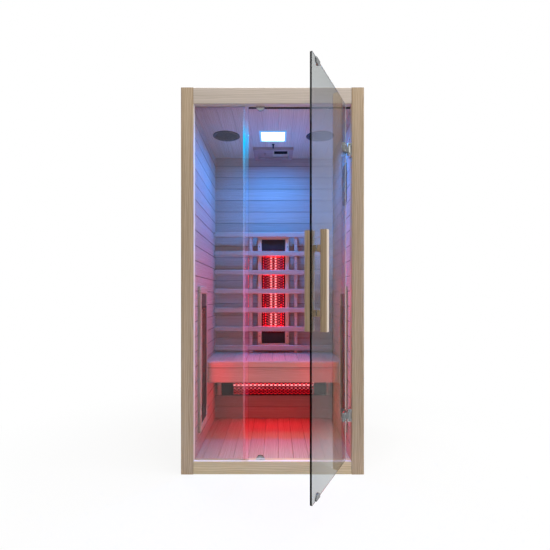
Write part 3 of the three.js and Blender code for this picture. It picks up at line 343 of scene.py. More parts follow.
def timber_grain():
    """Node group: the figure of softwood boards, from coordinates along, across and into them."""
    group, made, (along, across, into, pitch, seam, painted_seam_shade, pale, dark) = node_tree(
        "Timber grain", "Shader",
        ["Float Along", "Float Across", "Float Into", "Float Board pitch", "Float Seam", "Float Seam shade",
         "Color Pale", "Color Dark"],
        ["Color Color", "Float Roughness", "Float Height"])
    board = (across / pitch).reckon("FLOOR")
    chance = flow(group, "ShaderNodeTexWhiteNoise", {"W": board}, noise_dimensions="1D")
    shift = chance * 11.0  # each board is cut from another part of the log

    def stretched(lengthwise, crosswise):
        """Coordinates for a figure with so many features to the metre along and across a board."""
        return triple(along * lengthwise + shift, across * crosswise, into * crosswise + shift)

    rings = flow(group, "ShaderNodeTexWave", {
        "Vector": stretched(3.5, 34.0), "Scale": 1.0, "Distortion": 9.0, "Detail": 2.0, "Detail Scale": 1.0,
    }, "Fac", bands_direction="Y")
    streaks = noise(stretched(1.6, 62.0), 1.0, 4.0, 0.6)
    fibres = noise(stretched(16.0, 620.0), 1.0, 3.0, 0.7)
    sharp = mapped(rings * 0.30 + (streaks * 0.62 + fibres * 0.30), 0.32, 0.90)
    # Painted shade: darker in each seam between boards, where the groove falls into shade
    edge = across.reckon("PINGPONG", pitch * 0.5)
    shade = mapped(edge, seam, seam + SEAM_BLUR, painted_seam_shade, 1.0)
    light = shade * mapped(chance, 0.0, 1.0, *BOARD_LIGHT)
    wood = flow(group, "ShaderNodeVectorMath", {
        0: blend(sharp, pale, dark), 1: triple(light, light, light)}, operation="MULTIPLY")
    roughness = mapped(sharp, 0.0, 1.0, *WOOD_ROUGHNESS)
    feed(made, {"Color": wood, "Roughness": roughness, "Height": rings * 0.4 + fibres})
    return group


def mottle():
    """Node group: slow and fine unevenness of a moulded, sprayed or polished surface."""
    group, made, (vector, scale, low, high, colour, shade) = node_tree(
        "Mottle", "Shader",
        ["Vector Vector", "Float Scale", "Float Low", "Float High", "Color Color", "Color Shade"],
        ["Color Color", "Float Roughness", "Float Height"])
    slow = noise(vector, scale, 3.0)
    feed(made, {"Color": blend(slow, colour, shade), "Roughness": mapped(slow, 0.3, 0.7, low, high),
                "Height": noise(vector, scale * 14.0)})
    return group


def shared(name, maker):
    """A node tree by name, built the first time that it is asked for."""
    return bpy.data.node_groups.get(name) or maker()


def finish(name, **sockets):
    """A new material, its node tree and its shader, with plain values on the shader's own sockets."""
    material = bpy.data.materials.new(name)
    material.use_nodes = True
    tree = material.node_tree
    shader = feed(tree.nodes["Principled BSDF"],
                  {label.replace("_", " "): value for label, value in sockets.items()})
    return material, tree, shader


def surface(shader, effect, bump, depth):
    """Gives a shader the colour, roughness and relief of a placed node group."""
    made = outs(effect)
    feed(shader, {"Base Color": made["Color"], "Roughness": made["Roughness"]})
    if bump:
        relief = {"Height": made["Height"], "Strength": bump, "Distance": depth}
        feed(shader, {"Normal": flow(shader.id_data, "ShaderNodeBump", relief)})


def timber(name, wood, along, across, pitch=ONE_BOARD, start=-ONE_BOARD / 2, seam=0.0, shade=0.4, place=None,
           gloss=WOOD_GLOSS):
    """A timber whose grain runs along one axis, in boards that are set side by side along another, with painted
    shade in the seam between them. Where place names an attribute, the axes are those of the piece's own boards."""
    settings = bpy.context.scene.sauna_timber
    material, tree, shader = finish(name, Specular_IOR_Level=gloss)
    vector = flow(tree, "ShaderNodeAttribute", None, "Vector", attribute_name=place) if place else spot(tree)
    at = axes(vector)
    into = next(axis for axis in "XYZ" if axis not in (along, across))
    grain = put(tree, "ShaderNodeGroup", {
        "Along": at[along], "Across": at[across] - start, "Into": at[into], "Board pitch": pitch,
        "Seam": seam, "Seam shade": shade, "Pale": getattr(settings, f"{wood}_pale"),
        "Dark": getattr(settings, f"{wood}_dark")}, node_tree=shared("Timber grain", timber_grain))
    surface(shader, grain, *WOOD_RELIEF)
    return material


def mottled(name, colour, shade, scale, low, high, bump=0.0, **sockets):
    """A moulded, sprayed or polished finish that is never quite even."""
    material, tree, shader = finish(name, **sockets)
    uneven = put(tree, "ShaderNodeGroup", {
        "Vector": spot(tree), "Scale": scale, "Low": low, "High": high, "Color": colour, "Shade": shade},
        node_tree=shared("Mottle", mottle))
    surface(shader, uneven, bump, MOTTLE_DEPTH)
    return material


def glowing(name, pattern, glows, bases, **sockets):
    """A finish that gives light, with a pattern in both its glow and its base colour."""
    material, tree, shader = finish(name, **sockets)
    mask = pattern(spot(tree))
    feed(shader, {"Emission Color": blend(mask, *glows), "Base Color": blend(mask, *bases)})
    return material


def pane_glass(name, settings, normal):
    """Toughened glass: clear faces, dark cut edges, and shadows that let the light through."""
    material, tree, shader = finish(name, Roughness=0.0, IOR=1.5, Transmission_Weight=1.0)
    facing = flow(tree, "ShaderNodeLayerWeight", {"Blend": 0.5}, "Facing")
    clear = blend(mapped(facing, 0.25, 0.7), settings.tint, settings.slant_tint)
    lean = measure("DOT_PRODUCT", spot(tree, "Normal"), normal)
    edge = lean.reckon("ABSOLUTE") < FACE_LEAN
    feed(shader, {"Base Color": blend(edge, clear, settings.edge)})
    let_through = flow(tree, "ShaderNodeBsdfTransparent", {"Color": settings.tint})
    shadow = flow(tree, "ShaderNodeLightPath", None, "Is Shadow Ray")
    whole = layered(shadow, outs(shader)["BSDF"], let_through)
    feed(tree.nodes["Material Output"], {"Surface": whole})
    return material


def height_ramp(tree, low, high, stops):
    """A colour that runs through stops with the height. Each stop is a share of the way up and a colour."""
    ramp = put(tree, "ShaderNodeValToRGB", {"Fac": mapped(axes(spot(tree))["Z"], low, high)})
    elements = ramp.color_ramp.elements
    while len(elements) < len(stops):
        elements.new(0.5)
    for element, (at, colour) in zip(elements, stops):
        element.position = at
        element.color = (*colour, 1.0)
    return outs(ramp)["Color"]


def add_object(name, data):
    """Links a new object into the scene."""
    item = bpy.data.objects.new(name, data)
    bpy.context.scene.collection.objects.link(item)
    return item


def add_lamp(name, place, size, colour, strength, sheen=False):
    """A soft lamp that only lights: neither the camera nor a pane of glass shows it, and a reflection does
    only where the lamp gives sheen."""
    lamp = bpy.data.lights.new(name, "AREA")
    lamp.shape = "RECTANGLE"
    lamp.size, lamp.size_y = size
    lamp.color = colour
    lamp.energy = strength
    holder = add_object(name, lamp)
    holder.matrix_world = place
    holder.visible_camera = False
    holder.visible_glossy = sheen
    holder.visible_transmission = False
    return lamp


def dress(material, names):
    """Gives CAD nodes a finish. Their names stand in one line."""
    for name in names.split():
        mesh = NODES[name].data
        mesh.materials.clear()
        mesh.materials.append(material)


def add_piece(name, mesh, body, replaces=()):
    """Links a finished mesh as a piece that rides on a body."""
    piece = add_object(name, mesh)
    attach(piece, body)
    if replaces:
        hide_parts(*replaces)


def to_mesh(name, shape, material):
    """A mesh from a bmesh, with its normals made consistent."""
    bmesh.ops.recalc_face_normals(shape, faces=shape.faces)
    mesh = bpy.data.meshes.new(name)
    shape.to_mesh(mesh)
    shape.free()
    mesh.materials.append(material)
    return mesh


def add_shape(name, shape, material, body):
    """Links a bmesh as a piece that rides on a body."""
    add_piece(name, to_mesh(name, shape, material), body)


def grow(name, tree, place=None, start=None, **values):
    """Runs a tree on a start mesh and returns the result as a plain mesh, set in its place."""
    start = start or bpy.data.meshes.new("start")
    carrier = add_object("carrier", start)
    modifier = carrier.modifiers.new("Nodes", "NODES")
    modifier.node_group = tree
    for item in tree.interface.items_tree:
        label = item.name.lower().replace(" ", "_")
        if item.in_out == "INPUT" and label in values:
            modifier[item.identifier] = values[label]
    bpy.context.view_layer.update()
    graph = bpy.context.evaluated_depsgraph_get()
    mesh = bpy.data.meshes.new_from_object(carrier.evaluated_get(graph), depsgraph=graph)
    bpy.data.objects.remove(carrier)
    bpy.data.meshes.remove(start)
    if not mesh.polygons:
        raise RuntimeError(f"{tree.name} made nothing")
    if place:
        mesh.transform(place)
    mesh.name = name
    return mesh


def geometry_tree(name, *inputs):
    """An empty Geometry Nodes tree with named inputs, the last of them its material."""
    return node_tree(name, "Geometry", ["Geometry Geometry", *inputs, "Material Material"],
                     ["Geometry Geometry"])


def close_tree(made, material, geometry):
    """Ends a tree with Realize Instances and Set Material."""
    real = flow(geometry.tree, "GeometryNodeRealizeInstances", {0: geometry})
    feed(made, {0: flow(real.tree, "GeometryNodeSetMaterial", {"Geometry": real, "Material": material})})


def bar(*sides):
    """A bar of three side lengths in a geometry tree."""
    size = triple(*sides)
    return flow(size.tree, "GeometryNodeMeshCube", {"Size": size})


def moved(geometry, translation=(0.0, 0.0, 0.0), rotation=(0.0, 0.0, 0.0)):
    """A geometry turned and moved in a geometry tree."""
    return flow(geometry.tree, "GeometryNodeTransform", {
        "Geometry": geometry, "Translation": translation, "Rotation": rotation})


def set_off(geometry, *offset):
    """A geometry whose points are each moved by their own offset."""
    return flow(geometry.tree, "GeometryNodeSetPosition", {"Geometry": geometry, "Offset": triple(*offset)})


def without(geometry, chosen):
    """A geometry without the chosen faces."""
    return flow(geometry.tree, "GeometryNodeDeleteGeometry", {"Geometry": geometry, "Selection": chosen},
                domain="FACE")


def lattice(width, high, columns, rows):
    """A flat grid in a geometry tree, with so many steps across and along."""
    return flow(width.tree, "GeometryNodeMeshGrid", {
        "Size X": width, "Size Y": high, "Vertices X": columns + 1.0, "Vertices Y": rows + 1.0})


def together(*geometries):
    """Several geometries in one."""
    node = put(geometries[0].tree, "GeometryNodeJoinGeometry")
    for geometry in geometries:
        feed(node, {0: geometry})
    return outs(node)["Geometry"]


def expanded_metal():
    """Geometry tree: a sheet of slit and stretched metal in the XY plane. Strands run up from every knot to
    both sides, and the knots of every other row stand half a diamond aside."""
    tree, made, (_, width, high, columns, rows, strand, sheet, rim, material) = geometry_tree(
        "Expanded metal", "Float Width", "Float Length", "Int Columns", "Int Rows", "Float Strand",
        "Float Sheet", "Float Rim")
    pitch = width / columns
    rise = high / rows
    half_width = width * 0.5
    half_length = high * 0.5
    grid = lattice(width, high, columns, rows)
    at = axes(flow(tree, "GeometryNodeInputPosition"))
    column = (at["X"] + half_width) / pitch
    row = (at["Y"] + half_length) / rise
    knot = ((column + row) * 0.5 + 0.25).reckon("FRACT") < 0.5
    lower_row = knot * (row < rows - 0.5)
    to_right = lower_row * (column < columns - 0.5)
    to_left = lower_row * (column * -1.0 < -0.5)
    reach = (pitch * pitch + rise * rise).reckon("SQRT")
    angle = pitch.reckon("ARCTAN2", rise)
    parts = []

    def on_knots(chosen, geometry):
        parts.append(flow(tree, "GeometryNodeInstanceOnPoints", {
            "Points": grid, "Selection": chosen, "Instance": geometry}))

    for side, chosen in ((-1.0, to_right), (1.0, to_left)):
        turned = moved(bar(strand, reach, sheet), triple(0.0, reach * 0.5, 0.0), (0.0, STRAND_LEAN, 0.0))
        on_knots(chosen, moved(turned, rotation=triple(0.0, 0.0, angle * side)))
    on_knots(knot, bar(strand * 2.0, rise * 0.34, sheet * 2.0))
    for side in (-1.0, 1.0):
        parts.append(moved(bar(rim, high, sheet), triple((half_width + rim * 0.5) * side, 0.0, 0.0)))
        parts.append(moved(bar(width + rim * 2.0, rim, sheet),
                           triple(0.0, (half_length + rim * 0.5) * side, 0.0)))
    close_tree(made, material, together(*parts))
    return tree


def screw_heads():
    """Geometry tree: a cross-recessed screw head on each point, facing along the point's attribute."""
    tree, made, (points, radius, height, material) = geometry_tree(
        "Screw heads", "Float Radius", "Float Height")
    head = flow(tree, "GeometryNodeMeshCone", {
        "Vertices": 20, "Radius Top": radius * 0.68, "Radius Bottom": radius, "Depth": height})
    cross = put(tree, "GeometryNodeMeshBoolean", {"Mesh 1": head}, operation="DIFFERENCE", solver="EXACT")
    slot = radius * 0.26
    for x, y in ((radius, slot), (slot, radius)):
        feed(cross, {"Mesh 2": moved(bar(x, y, height), triple(0.0, 0.0, height * 1.1))})
    facing = flow(tree, "GeometryNodeInputNamedAttribute", {"Name": "facing"}, data_type="FLOAT_VECTOR")
    turn = flow(tree, "FunctionNodeAlignRotationToVector", {"Vector": facing}, axis="Z")
    close_tree(made, material, flow(tree, "GeometryNodeInstanceOnPoints", {
        "Points": points, "Instance": outs(cross)["Mesh"], "Rotation": turn}))
    return tree


def perforated_dome():
    """Geometry tree: a shallow dome of sheet metal with a hole in every cell of a honeycomb, bulging up."""
    tree, made, (_, radius, pitch, hole, dome, sheet, material) = geometry_tree(
        "Perforated dome", "Float Radius", "Float Pitch", "Float Open", "Float Dome", "Float Sheet")
    row_height = pitch * math.sqrt(0.75)
    rows = (radius * 2.2 / row_height).reckon("CEIL")
    columns = (radius * 3.6 / pitch).reckon("CEIL")
    grid = lattice(columns * pitch, rows * row_height, columns, rows)
    position = flow(tree, "GeometryNodeInputPosition")
    aside = axes(position)["Y"] * (1 / math.sqrt(3))
    sheared = set_off(grid, aside, 0.0, 0.0)
    triangles = flow(tree, "GeometryNodeTriangulate", {"Mesh": sheared}, quad_method="SHORTEST_DIAGONAL")
    cells = flow(tree, "GeometryNodeDualMesh", {"Mesh": triangles})
    distance = measure("LENGTH", position)
    outside = distance.reckon("GREATER_THAN", radius - pitch * 0.58)
    inner = outs(put(tree, "GeometryNodeExtrudeMesh", {
        "Mesh": without(cells, outside), "Offset Scale": 0.0, "Individual": True}))
    shrunk = flow(tree, "GeometryNodeScaleElements", {
        "Geometry": inner["Mesh"], "Selection": inner["Top"], "Scale": hole})
    outwards = distance / radius
    domed = set_off(without(shrunk, inner["Top"]), 0.0, 0.0, (outwards * outwards * -1.0 + 1.0) * dome)
    thick = flow(tree, "GeometryNodeExtrudeMesh", {
        "Mesh": domed, "Offset": (0.0, 0.0, 1.0), "Offset Scale": sheet, "Individual": False})
    underside = flow(tree, "GeometryNodeFlipFaces", {"Mesh": domed})
    close_tree(made, material, flow(tree, "GeometryNodeMergeByDistance", {
        "Geometry": together(thick, underside), "Distance": 0.00001}))
    return tree


def screws(name, points, radius, height, material, body="cabin"):
    """A piece of screw heads, from pairs of a place and the way that the head faces."""
    start = bpy.data.meshes.new(name)
    start.from_pydata([place for place, _ in points], [], [])
    facing = start.attributes.new("facing", "FLOAT_VECTOR", "POINT")
    for item, (_, way) in zip(facing.data, points):
        item.vector = way
    mesh = grow(name, shared("Screw heads", screw_heads), None, start, radius=radius, height=height,
                material=material)
    add_piece(name, mesh, body)


def heater_frame(name):
    """A heater's own axes (across, along, out) with the origin in the middle of its face, its half sizes, and
    how far its face stands in front of the lining."""
    along, out, lining = HEATERS[name]
    low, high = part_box(f"{name}_heater_housing")
    half = (high - low) / 2
    across = along.cross(out)
    origin = (low + high) / 2 + out * abs(half.dot(out))
    place = Matrix((across, along, out)).transposed().to_4x4()
    place.translation = origin
    proud = origin.dot(out) - max(corner.dot(out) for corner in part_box(lining))
    return place, abs(half.dot(across)), abs(half.dot(along)), proud


def add_board(shape, place, low, high, along, ease=0.0012):
    """Adds a board with eased edges between two corners of a frame. Its grain runs along one of the frame's
    axes, and its own coordinates are kept for the timber."""
    layer = shape.verts.layers.float_vector.get("board") or shape.verts.layers.float_vector.new("board")
    size = Vector(high) - Vector(low)
    middle = (Vector(high) + Vector(low)) / 2
    cube = bmesh.ops.create_cube(shape, size=1.0)["verts"]
    bmesh.ops.scale(shape, vec=size, verts=cube)
    edges = list(dict.fromkeys(edge for vert in cube for edge in vert.link_edges))
    made = bmesh.ops.bevel(shape, geom=edges, offset=ease, segments=2, profile=0.5, affect="EDGES")
    order = [along] + [axis for axis in range(3) if axis != along]
    for vert in {vert for face in made["faces"] for vert in face.verts}:
        point = vert.co + middle
        vert[layer] = Vector([point[axis] for axis in order]) + middle * 3
        vert.co = place @ point


def skin(shape, place, rings, closed):
    """Joins rings of points in a frame by faces, the last ring to the first. A closed ring also joins its own
    ends, and the ends of open rings get a lid."""
    rings = [[shape.verts.new(place @ point) for point in ring] for ring in rings]
    for first, second in zip(rings, rings[1:] + rings[:1]):
        for i in range(0 if closed else 1, len(first)):
            shape.faces.new((first[i - 1], first[i], second[i], second[i - 1]))
    for end in () if closed else (0, -1):
        shape.faces.new([ring[end] for ring in rings])


class SAUNA_OT_stage(bpy.types.Operator):
    """Sets up the camera, the white studio and its lamps"""

    bl_idname = "sauna.stage"
    bl_label = "Stage"

    def execute(self, context):
        settings = context.scene.sauna_stage
        context.scene.view_settings.view_transform = "Standard"
        self.add_camera(context)
        self.light_world(context, settings)
        self.add_floor()
        self.add_cards(settings)
        self.add_lamps(settings)
        return {"FINISHED"}

    def add_camera(self, context):
        lens = bpy.data.cameras.new("camera")
        lens.sensor_width = CAMERA_SENSOR
        lens.lens = CAMERA_LENS
        lens.shift_x, lens.shift_y = CAMERA_SHIFT
        camera = add_object("camera", lens)
        camera.location = CAMERA_PLACE
        camera.rotation_euler = (math.pi / 2, 0, 0)
        context.scene.camera = camera

    def seen(self, tree):
        """One where a ray comes from the camera, a reflection or a pane of glass, and lights no surface."""
        path = outs(put(tree, "ShaderNodeLightPath"))
        bright = path["Is Camera Ray"].reckon("MAXIMUM", path["Is Glossy Ray"])
        shown = bright.reckon("MAXIMUM", path["Is Transmission Ray"])
        return shown * (path["Diffuse Depth"] < 0.5)

    def light_world(self, context, settings):
        world = context.scene.world or bpy.data.worlds.new("studio")
        context.scene.world = world
        world.use_nodes = True
        tree = world.node_tree
        tree.nodes.clear()
        soft, white = (flow(tree, "ShaderNodeBackground", {"Color": colour, "Strength": 1.0})
                       for colour in (settings.ambient, WHITE))
        put(tree, "ShaderNodeOutputWorld", {"Surface": layered(self.seen(tree), soft, white)})

    def add_floor(self):
        """A pale floor that looks white, a little less so near the cabin, where its shadow shows."""
        shape = bmesh.new()
        bmesh.ops.create_grid(shape, x_segments=8, y_segments=8, size=30.0)
        material, tree, shader = finish("studio_floor", Roughness=0.9)
        cloud = noise(spot(tree), 0.3)
        feed(shader, {"Base Color": blend(cloud, (0.90, 0.90, 0.90), (0.93, 0.93, 0.93))})
        white = flow(tree, "ShaderNodeEmission", {"Color": WHITE, "Strength": 1.0})
        bright = mapped(measure("LENGTH", spot(tree)), 0.6, 1.8, 0.84, 1.0)
        whole = layered(self.seen(tree) * bright, outs(shader)["BSDF"], white)
        feed(tree.nodes["Material Output"], {"Surface": whole})
        floor = add_object("studio_floor", to_mesh("studio_floor", shape, material))
        floor.location.z = -0.001

    def add_cards(self, settings):
        """Grey cards that only reflections see, flat and upright: one for the door, with a painted blue
        reflection, one for the pane.
        """
        low = 0.002
        near = CAD_BOX[0].y / 2
        none = (0.0, 0.0, 0.0)
        painted_blue_reflection, faint, grey = (0.42, 0.50, 0.95), (0.04, 0.05, 0.07), (0.26, 0.25, 0.30)
        cards = {
            "door_card": ([(0.46, near), (0.46, 4.5), (2.4, 4.5), (2.4, near)],
                          [(0.22, none), (0.33, painted_blue_reflection), (0.66, painted_blue_reflection), (0.86, faint)]),
            "pane_card": ([(4.0, near), (-4.0, near), (-4.0, -5.0), (4.0, -5.0)],
                          [(0.48, none), (0.9, grey)]),
        }
        for name, (points, reflection_stops) in cards.items():
            mesh = bpy.data.meshes.new(name)
            standing = [(x, y, CARD_TOP) for x, y in points[2:]]
            mesh.from_pydata([(x, y, low) for x, y in points] + standing, [], [(0, 1, 2, 3), (3, 2, 4, 5)])
            mesh.materials.append(self.card_paint(name, getattr(settings, name), settings.top_card, reflection_stops))
            card = add_object(name, mesh)
            for kind in ("camera", "diffuse", "transmission", "shadow", "volume_scatter"):
                setattr(card, f"visible_{kind}", False)

    def card_paint(self, name, bottom, top, reflection_stops):
        """A glow that only the mirror of a pane sees: flat on the floor it fades with the distance from the cabin,
        and upright it follows the reflection's stops, a painted blue reflection on the door's card. Any softer
        reflection sees an even grey."""
        material = bpy.data.materials.new(name)
        material.use_nodes = True
        tree = material.node_tree
        tree.nodes.clear()
        grey = mapped(measure("LENGTH", spot(tree)), 0.5, 1.0, bottom, top)
        mirror = flow(tree, "ShaderNodeLightPath", None, "Is Singular Ray")
        strength = flow(tree, "ShaderNodeMix", {0: mirror, 2: SOFT_CARD, 3: grey})
        flat = flow(tree, "ShaderNodeEmission", {"Strength": strength})
        upright = flow(tree, "ShaderNodeEmission", {
            "Color": height_ramp(tree, 0.0, CARD_TOP, reflection_stops), "Strength": mirror})
        whole = flow(tree, "ShaderNodeAddShader", {0: flat, 1: upright})
        put(tree, "ShaderNodeOutputMaterial", {"Surface": whole})
        return material

    def add_lamps(self, settings):
        for name, (place, size, target) in STUDIO_LAMPS.items():
            aim = Vector(target) - Vector(place)
            seat = Matrix.Translation(place) @ aim.to_track_quat("-Z", "Y").to_matrix().to_4x4()
            add_lamp(name, seat, size, WHITE, getattr(settings, f"{name}_power"))
        low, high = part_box("floor_boards")
        over = Vector((0, low.y + FILL_INSET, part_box("ceiling_lining")[0].z - FILL_DROP))
        fill = add_lamp("floor_fill", Matrix.Translation(over), (high.x - low.x, FILL_DEPTH), FILL_COLOUR,
                        settings.floor_power)
        fill.spread = FILL_SPREAD


class SAUNA_OT_timber(bpy.types.Operator):
    """Gives walls, floor, ceiling, bench, backrest and front frame their boards"""

    bl_idname = "sauna.timber"
    bl_label = "Timber"

    def execute(self, context):
        settings = context.scene.sauna_timber
        seam = settings.seam / 2
        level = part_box("left_wall_lining")[0].z
        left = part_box("floor_boards")[0].x
        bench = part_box("bench_top")[0].x
        # Board sets: name, wood, grain axis, board axis, where the boards start, how dark the painted shade in
        # their seams is (1 is none), and their nodes
        for name, wood, along, across, start, shade, nodes in (
                ("side_boards", "side", "Y", "Z", level, 0.4, "left_wall_lining right_wall_lining"),
                ("back_boards", "back", "X", "Z", level, 0.62, "back_wall_lining"),
                ("side_cladding", "cladding", "Y", "Z", level, 0.4, "left_wall_cladding right_wall_cladding"),
                ("back_cladding", "cladding", "X", "Z", level, 0.4, "back_wall_cladding"),
                ("roof_boards", "cladding", "Y", "X", left, 0.86, "roof_cover"),
                ("ceiling_boards", "ceiling", "Y", "X", left, 0.92, "ceiling_lining"),
                ("floor_planks", "lining", "Y", "X", left, 0.86, "floor_boards"),
                ("bench_boards", "lining", "Y", "X", bench, 0.8, "bench_top")):
            gloss = WALL_GLOSS if wood == "side" else WOOD_GLOSS
            dress(timber(name, wood, along, across, settings.board_pitch, start, seam, shade, gloss=gloss),
                  nodes)
        # Painted shade: a dark line along the rail's lower edge, where the rail meets the apron
        rail_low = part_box("bench_front_rail")[0].z
        dress(timber("bench_front", "lining", "X", "Z", ONE_BOARD, rail_low, seam),
              "bench_front_rail bench_apron")
        slat_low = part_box("backrest")[0].z
        dress(timber("slat_timber", "lining", "X", "Z", SLAT_PITCH, slat_low - SLAT_START), "backrest")
        for name in ("left_stile", "right_stile"):
            dress(timber(f"{name}_timber", "frame", "Z", "X", start=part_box(name)[0].x - ONE_BOARD / 4), name)
        for name, wood, along, across, nodes in (
                ("header_timber", "header", "X", "Z", "header"),
                ("sill_timber", "sill", "X", "Z", "sill"),
                ("vent_timber", "vent", "X", "Y", "vent_frame vent_slider"),
                ("stud_timber", "lining", "Y", "X", "base_frame left_wall_frame right_wall_frame "
                                                    "back_wall_frame roof_frame bench_cleats")):
            dress(timber(name, wood, along, across), nodes)
        handle = self.handle_wood(settings)
        dress(handle, "handle_outer_bar handle_inner_bar upper_handle_bolt lower_handle_bolt")
        self.add_spacers(handle)
        self.add_strips(timber("strip_timber", "strip", "X", "Y", place="board"))
        return {"FINISHED"}

    def handle_wood(self, settings):
        """The handle's timber, with a painted highlight: a paler colour on the faces that look outwards, where the
        light falls.
        """
        material = timber("handle_timber", "handle", "Z", "X", gloss=HANDLE_GLOSS)
        tree = material.node_tree
        shader = tree.nodes["Principled BSDF"]
        grain_colour = Value(tree, shader.inputs["Base Color"].links[0].from_socket)
        lean = measure("DOT_PRODUCT", spot(tree, "Normal"), DOOR_OUTWARDS)
        # Painted highlight on the faces that look outwards
        outer = mapped(lean, 0.6, 0.9, 0.0, 0.75)
        feed(shader, {"Base Color": blend(outer, grain_colour, settings.painted_outward_light)})
        return material

    def add_spacers(self, material):
        """Square blocks on the handle's bolts, between the glass and both bars."""
        half = 0.013
        glass, bar_face = 0.0043, 0.0187
        seat = Matrix((DOOR_ALONG, DOOR_OUTWARDS, (0, 0, 1))).transposed().to_4x4()
        seat.translation = HINGE_PIN - DOOR_OUTWARDS * GLASS_SETBACK
        shape = bmesh.new()
        for name in ("upper_handle_bolt", "lower_handle_bolt"):
            low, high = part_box(name)
            middle = seat.inverted() @ ((low + high) / 2)
            for inner, outer in ((glass, bar_face), (-bar_face, -glass)):
                add_board(shape, seat, (middle.x - half, inner, middle.z - half),
                          (middle.x + half, outer, middle.z + half), 2)
        add_shape("handle_spacers", shape, material, "door")

    def add_strips(self, material):
        """Painted highlight: pale strips in the opening where the light falls, on the left stile's inner face and
        on the sill's top.
        """
        thick, gap, inset = 0.0012, 0.0003, 0.0012
        sill_low, sill_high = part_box("sill")
        left, right = sill_low.x + gap, sill_high.x - gap
        front, floor = sill_low.y + inset, sill_high.z + gap
        pane_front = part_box("fixed_glass")[0].y
        catch_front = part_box("glass_edge_seal")[0].y
        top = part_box("header")[0].z
        shape = bmesh.new()
        add_board(shape, Matrix(), (left, front, floor + thick + gap),
                  (left + thick, pane_front - gap, top - gap), 2, THIN_EASE)
        add_board(shape, Matrix(), (left, front, floor),
                  (right, catch_front - gap, floor + thick), 0, THIN_EASE)
        add_shape("opening_strips", shape, material, "cabin")


class SAUNA_OT_glazing(bpy.types.Operator):
    """Gives the door, the fixed pane and the seals their glass, clear plastic and rubber"""

    bl_idname = "sauna.glazing"
    bl_label = "Glass and seals"

    def execute(self, context):
        settings = context.scene.sauna_glass
        dress(pane_glass("pane_glass", settings, (0, 1, 0)), "fixed_glass")
        dress(pane_glass("door_glass", settings, DOOR_OUTWARDS), "door_glass")
        dress(self.clear_plastic(), "glass_edge_seal")
        dress(mottled("black_rubber", (0.012, 0.012, 0.014), (0.03, 0.03, 0.034), 60.0, 0.55, 0.75, 0.2),
              "door_stop_seal")
        return {"FINISHED"}

    def clear_plastic(self):
        """Clear plastic with painted light: a glow that changes with the height, the heaters' red low down and the
        colour light's cyan near the top, where a painted cyan band also tints it.
        """
        seal = mottled("clear_seal", (0.93, 0.95, 0.98), (0.88, 0.92, 0.96), 30.0, 0.13, 0.17,
                       Transmission_Weight=1.0, IOR=1.02, Emission_Strength=0.5)
        tree = seal.node_tree
        low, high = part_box("glass_edge_seal")
        # Painted glow by height: the heaters' red light low down and the colour light's cyan near the top
        glows = ((0.1, (0.10, 0.0, 0.0)), (0.5, (0.16, 0.03, 0.09)), (0.68, (0.03, 0.05, 0.07)),
                 (0.82, (0.0, 0.07, 0.14)), (0.905, (0.0, 0.28, 0.5)), (0.97, (0.02, 0.03, 0.06)))
        # Painted highlight: a cyan band in the colour, at the colour light's height
        clear, painted_cyan = (0.92, 0.94, 0.98), (0.30, 0.88, 1.0)
        tints_and_painted_light = ((0.845, clear), (0.895, painted_cyan), (0.91, painted_cyan), (0.95, clear))
        feed(tree.nodes["Principled BSDF"], {
            "Emission Color": height_ramp(tree, low.z, high.z, glows),
            "Base Color": height_ramp(tree, low.z, high.z, tints_and_painted_light)})
        return seal


class SAUNA_OT_metalwork(bpy.types.Operator):
    """Gives hinges and catches their chrome and their screws"""

    bl_idname = "sauna.metalwork"
    bl_label = "Hinges and catches"

    def execute(self, context):
        lug_rise, lug_aside = 0.0225, 0.004
        clamp_rise, clamp_reach, clamp_half = 0.013, 0.033, 0.008
        chrome = mottled("chrome", (0.68, 0.69, 0.70), (0.52, 0.54, 0.55), 40.0, 0.05, 0.10, Metallic=1.0)
        dress(chrome, "upper_hinge_bracket lower_hinge_bracket upper_hinge_clamp lower_hinge_clamp "
                      "upper_catch_plate lower_catch_plate header_catch sill_catch")
        dark = mottled("socket_steel", (0.05, 0.05, 0.055), (0.10, 0.10, 0.11), 90.0, 0.3, 0.45, Metallic=1.0)
        lugs = []
        plates = []
        for place in ("upper", "lower"):
            low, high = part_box(f"{place}_hinge_bracket")
            middle = (low.z + high.z) / 2
            for way in (-1, 1):
                lugs.append((Vector((HINGE_PIN.x + lug_aside, low.y, middle + way * lug_rise)), (0, -1, 0)))
            for rise in (-clamp_rise, clamp_rise):
                for way in (-1, 1):
                    out = way * clamp_half - GLASS_SETBACK
                    face = HINGE_PIN + DOOR_ALONG * clamp_reach + DOOR_OUTWARDS * out
                    plates.append((Vector((face.x, face.y, middle + rise)), DOOR_OUTWARDS * way))
        screws("hinge_lug_screws", lugs, 0.0026, 0.0012, dark)
        screws("hinge_clamp_screws", plates, 0.0045, 0.0016, chrome, body="door")
        return {"FINISHED"}


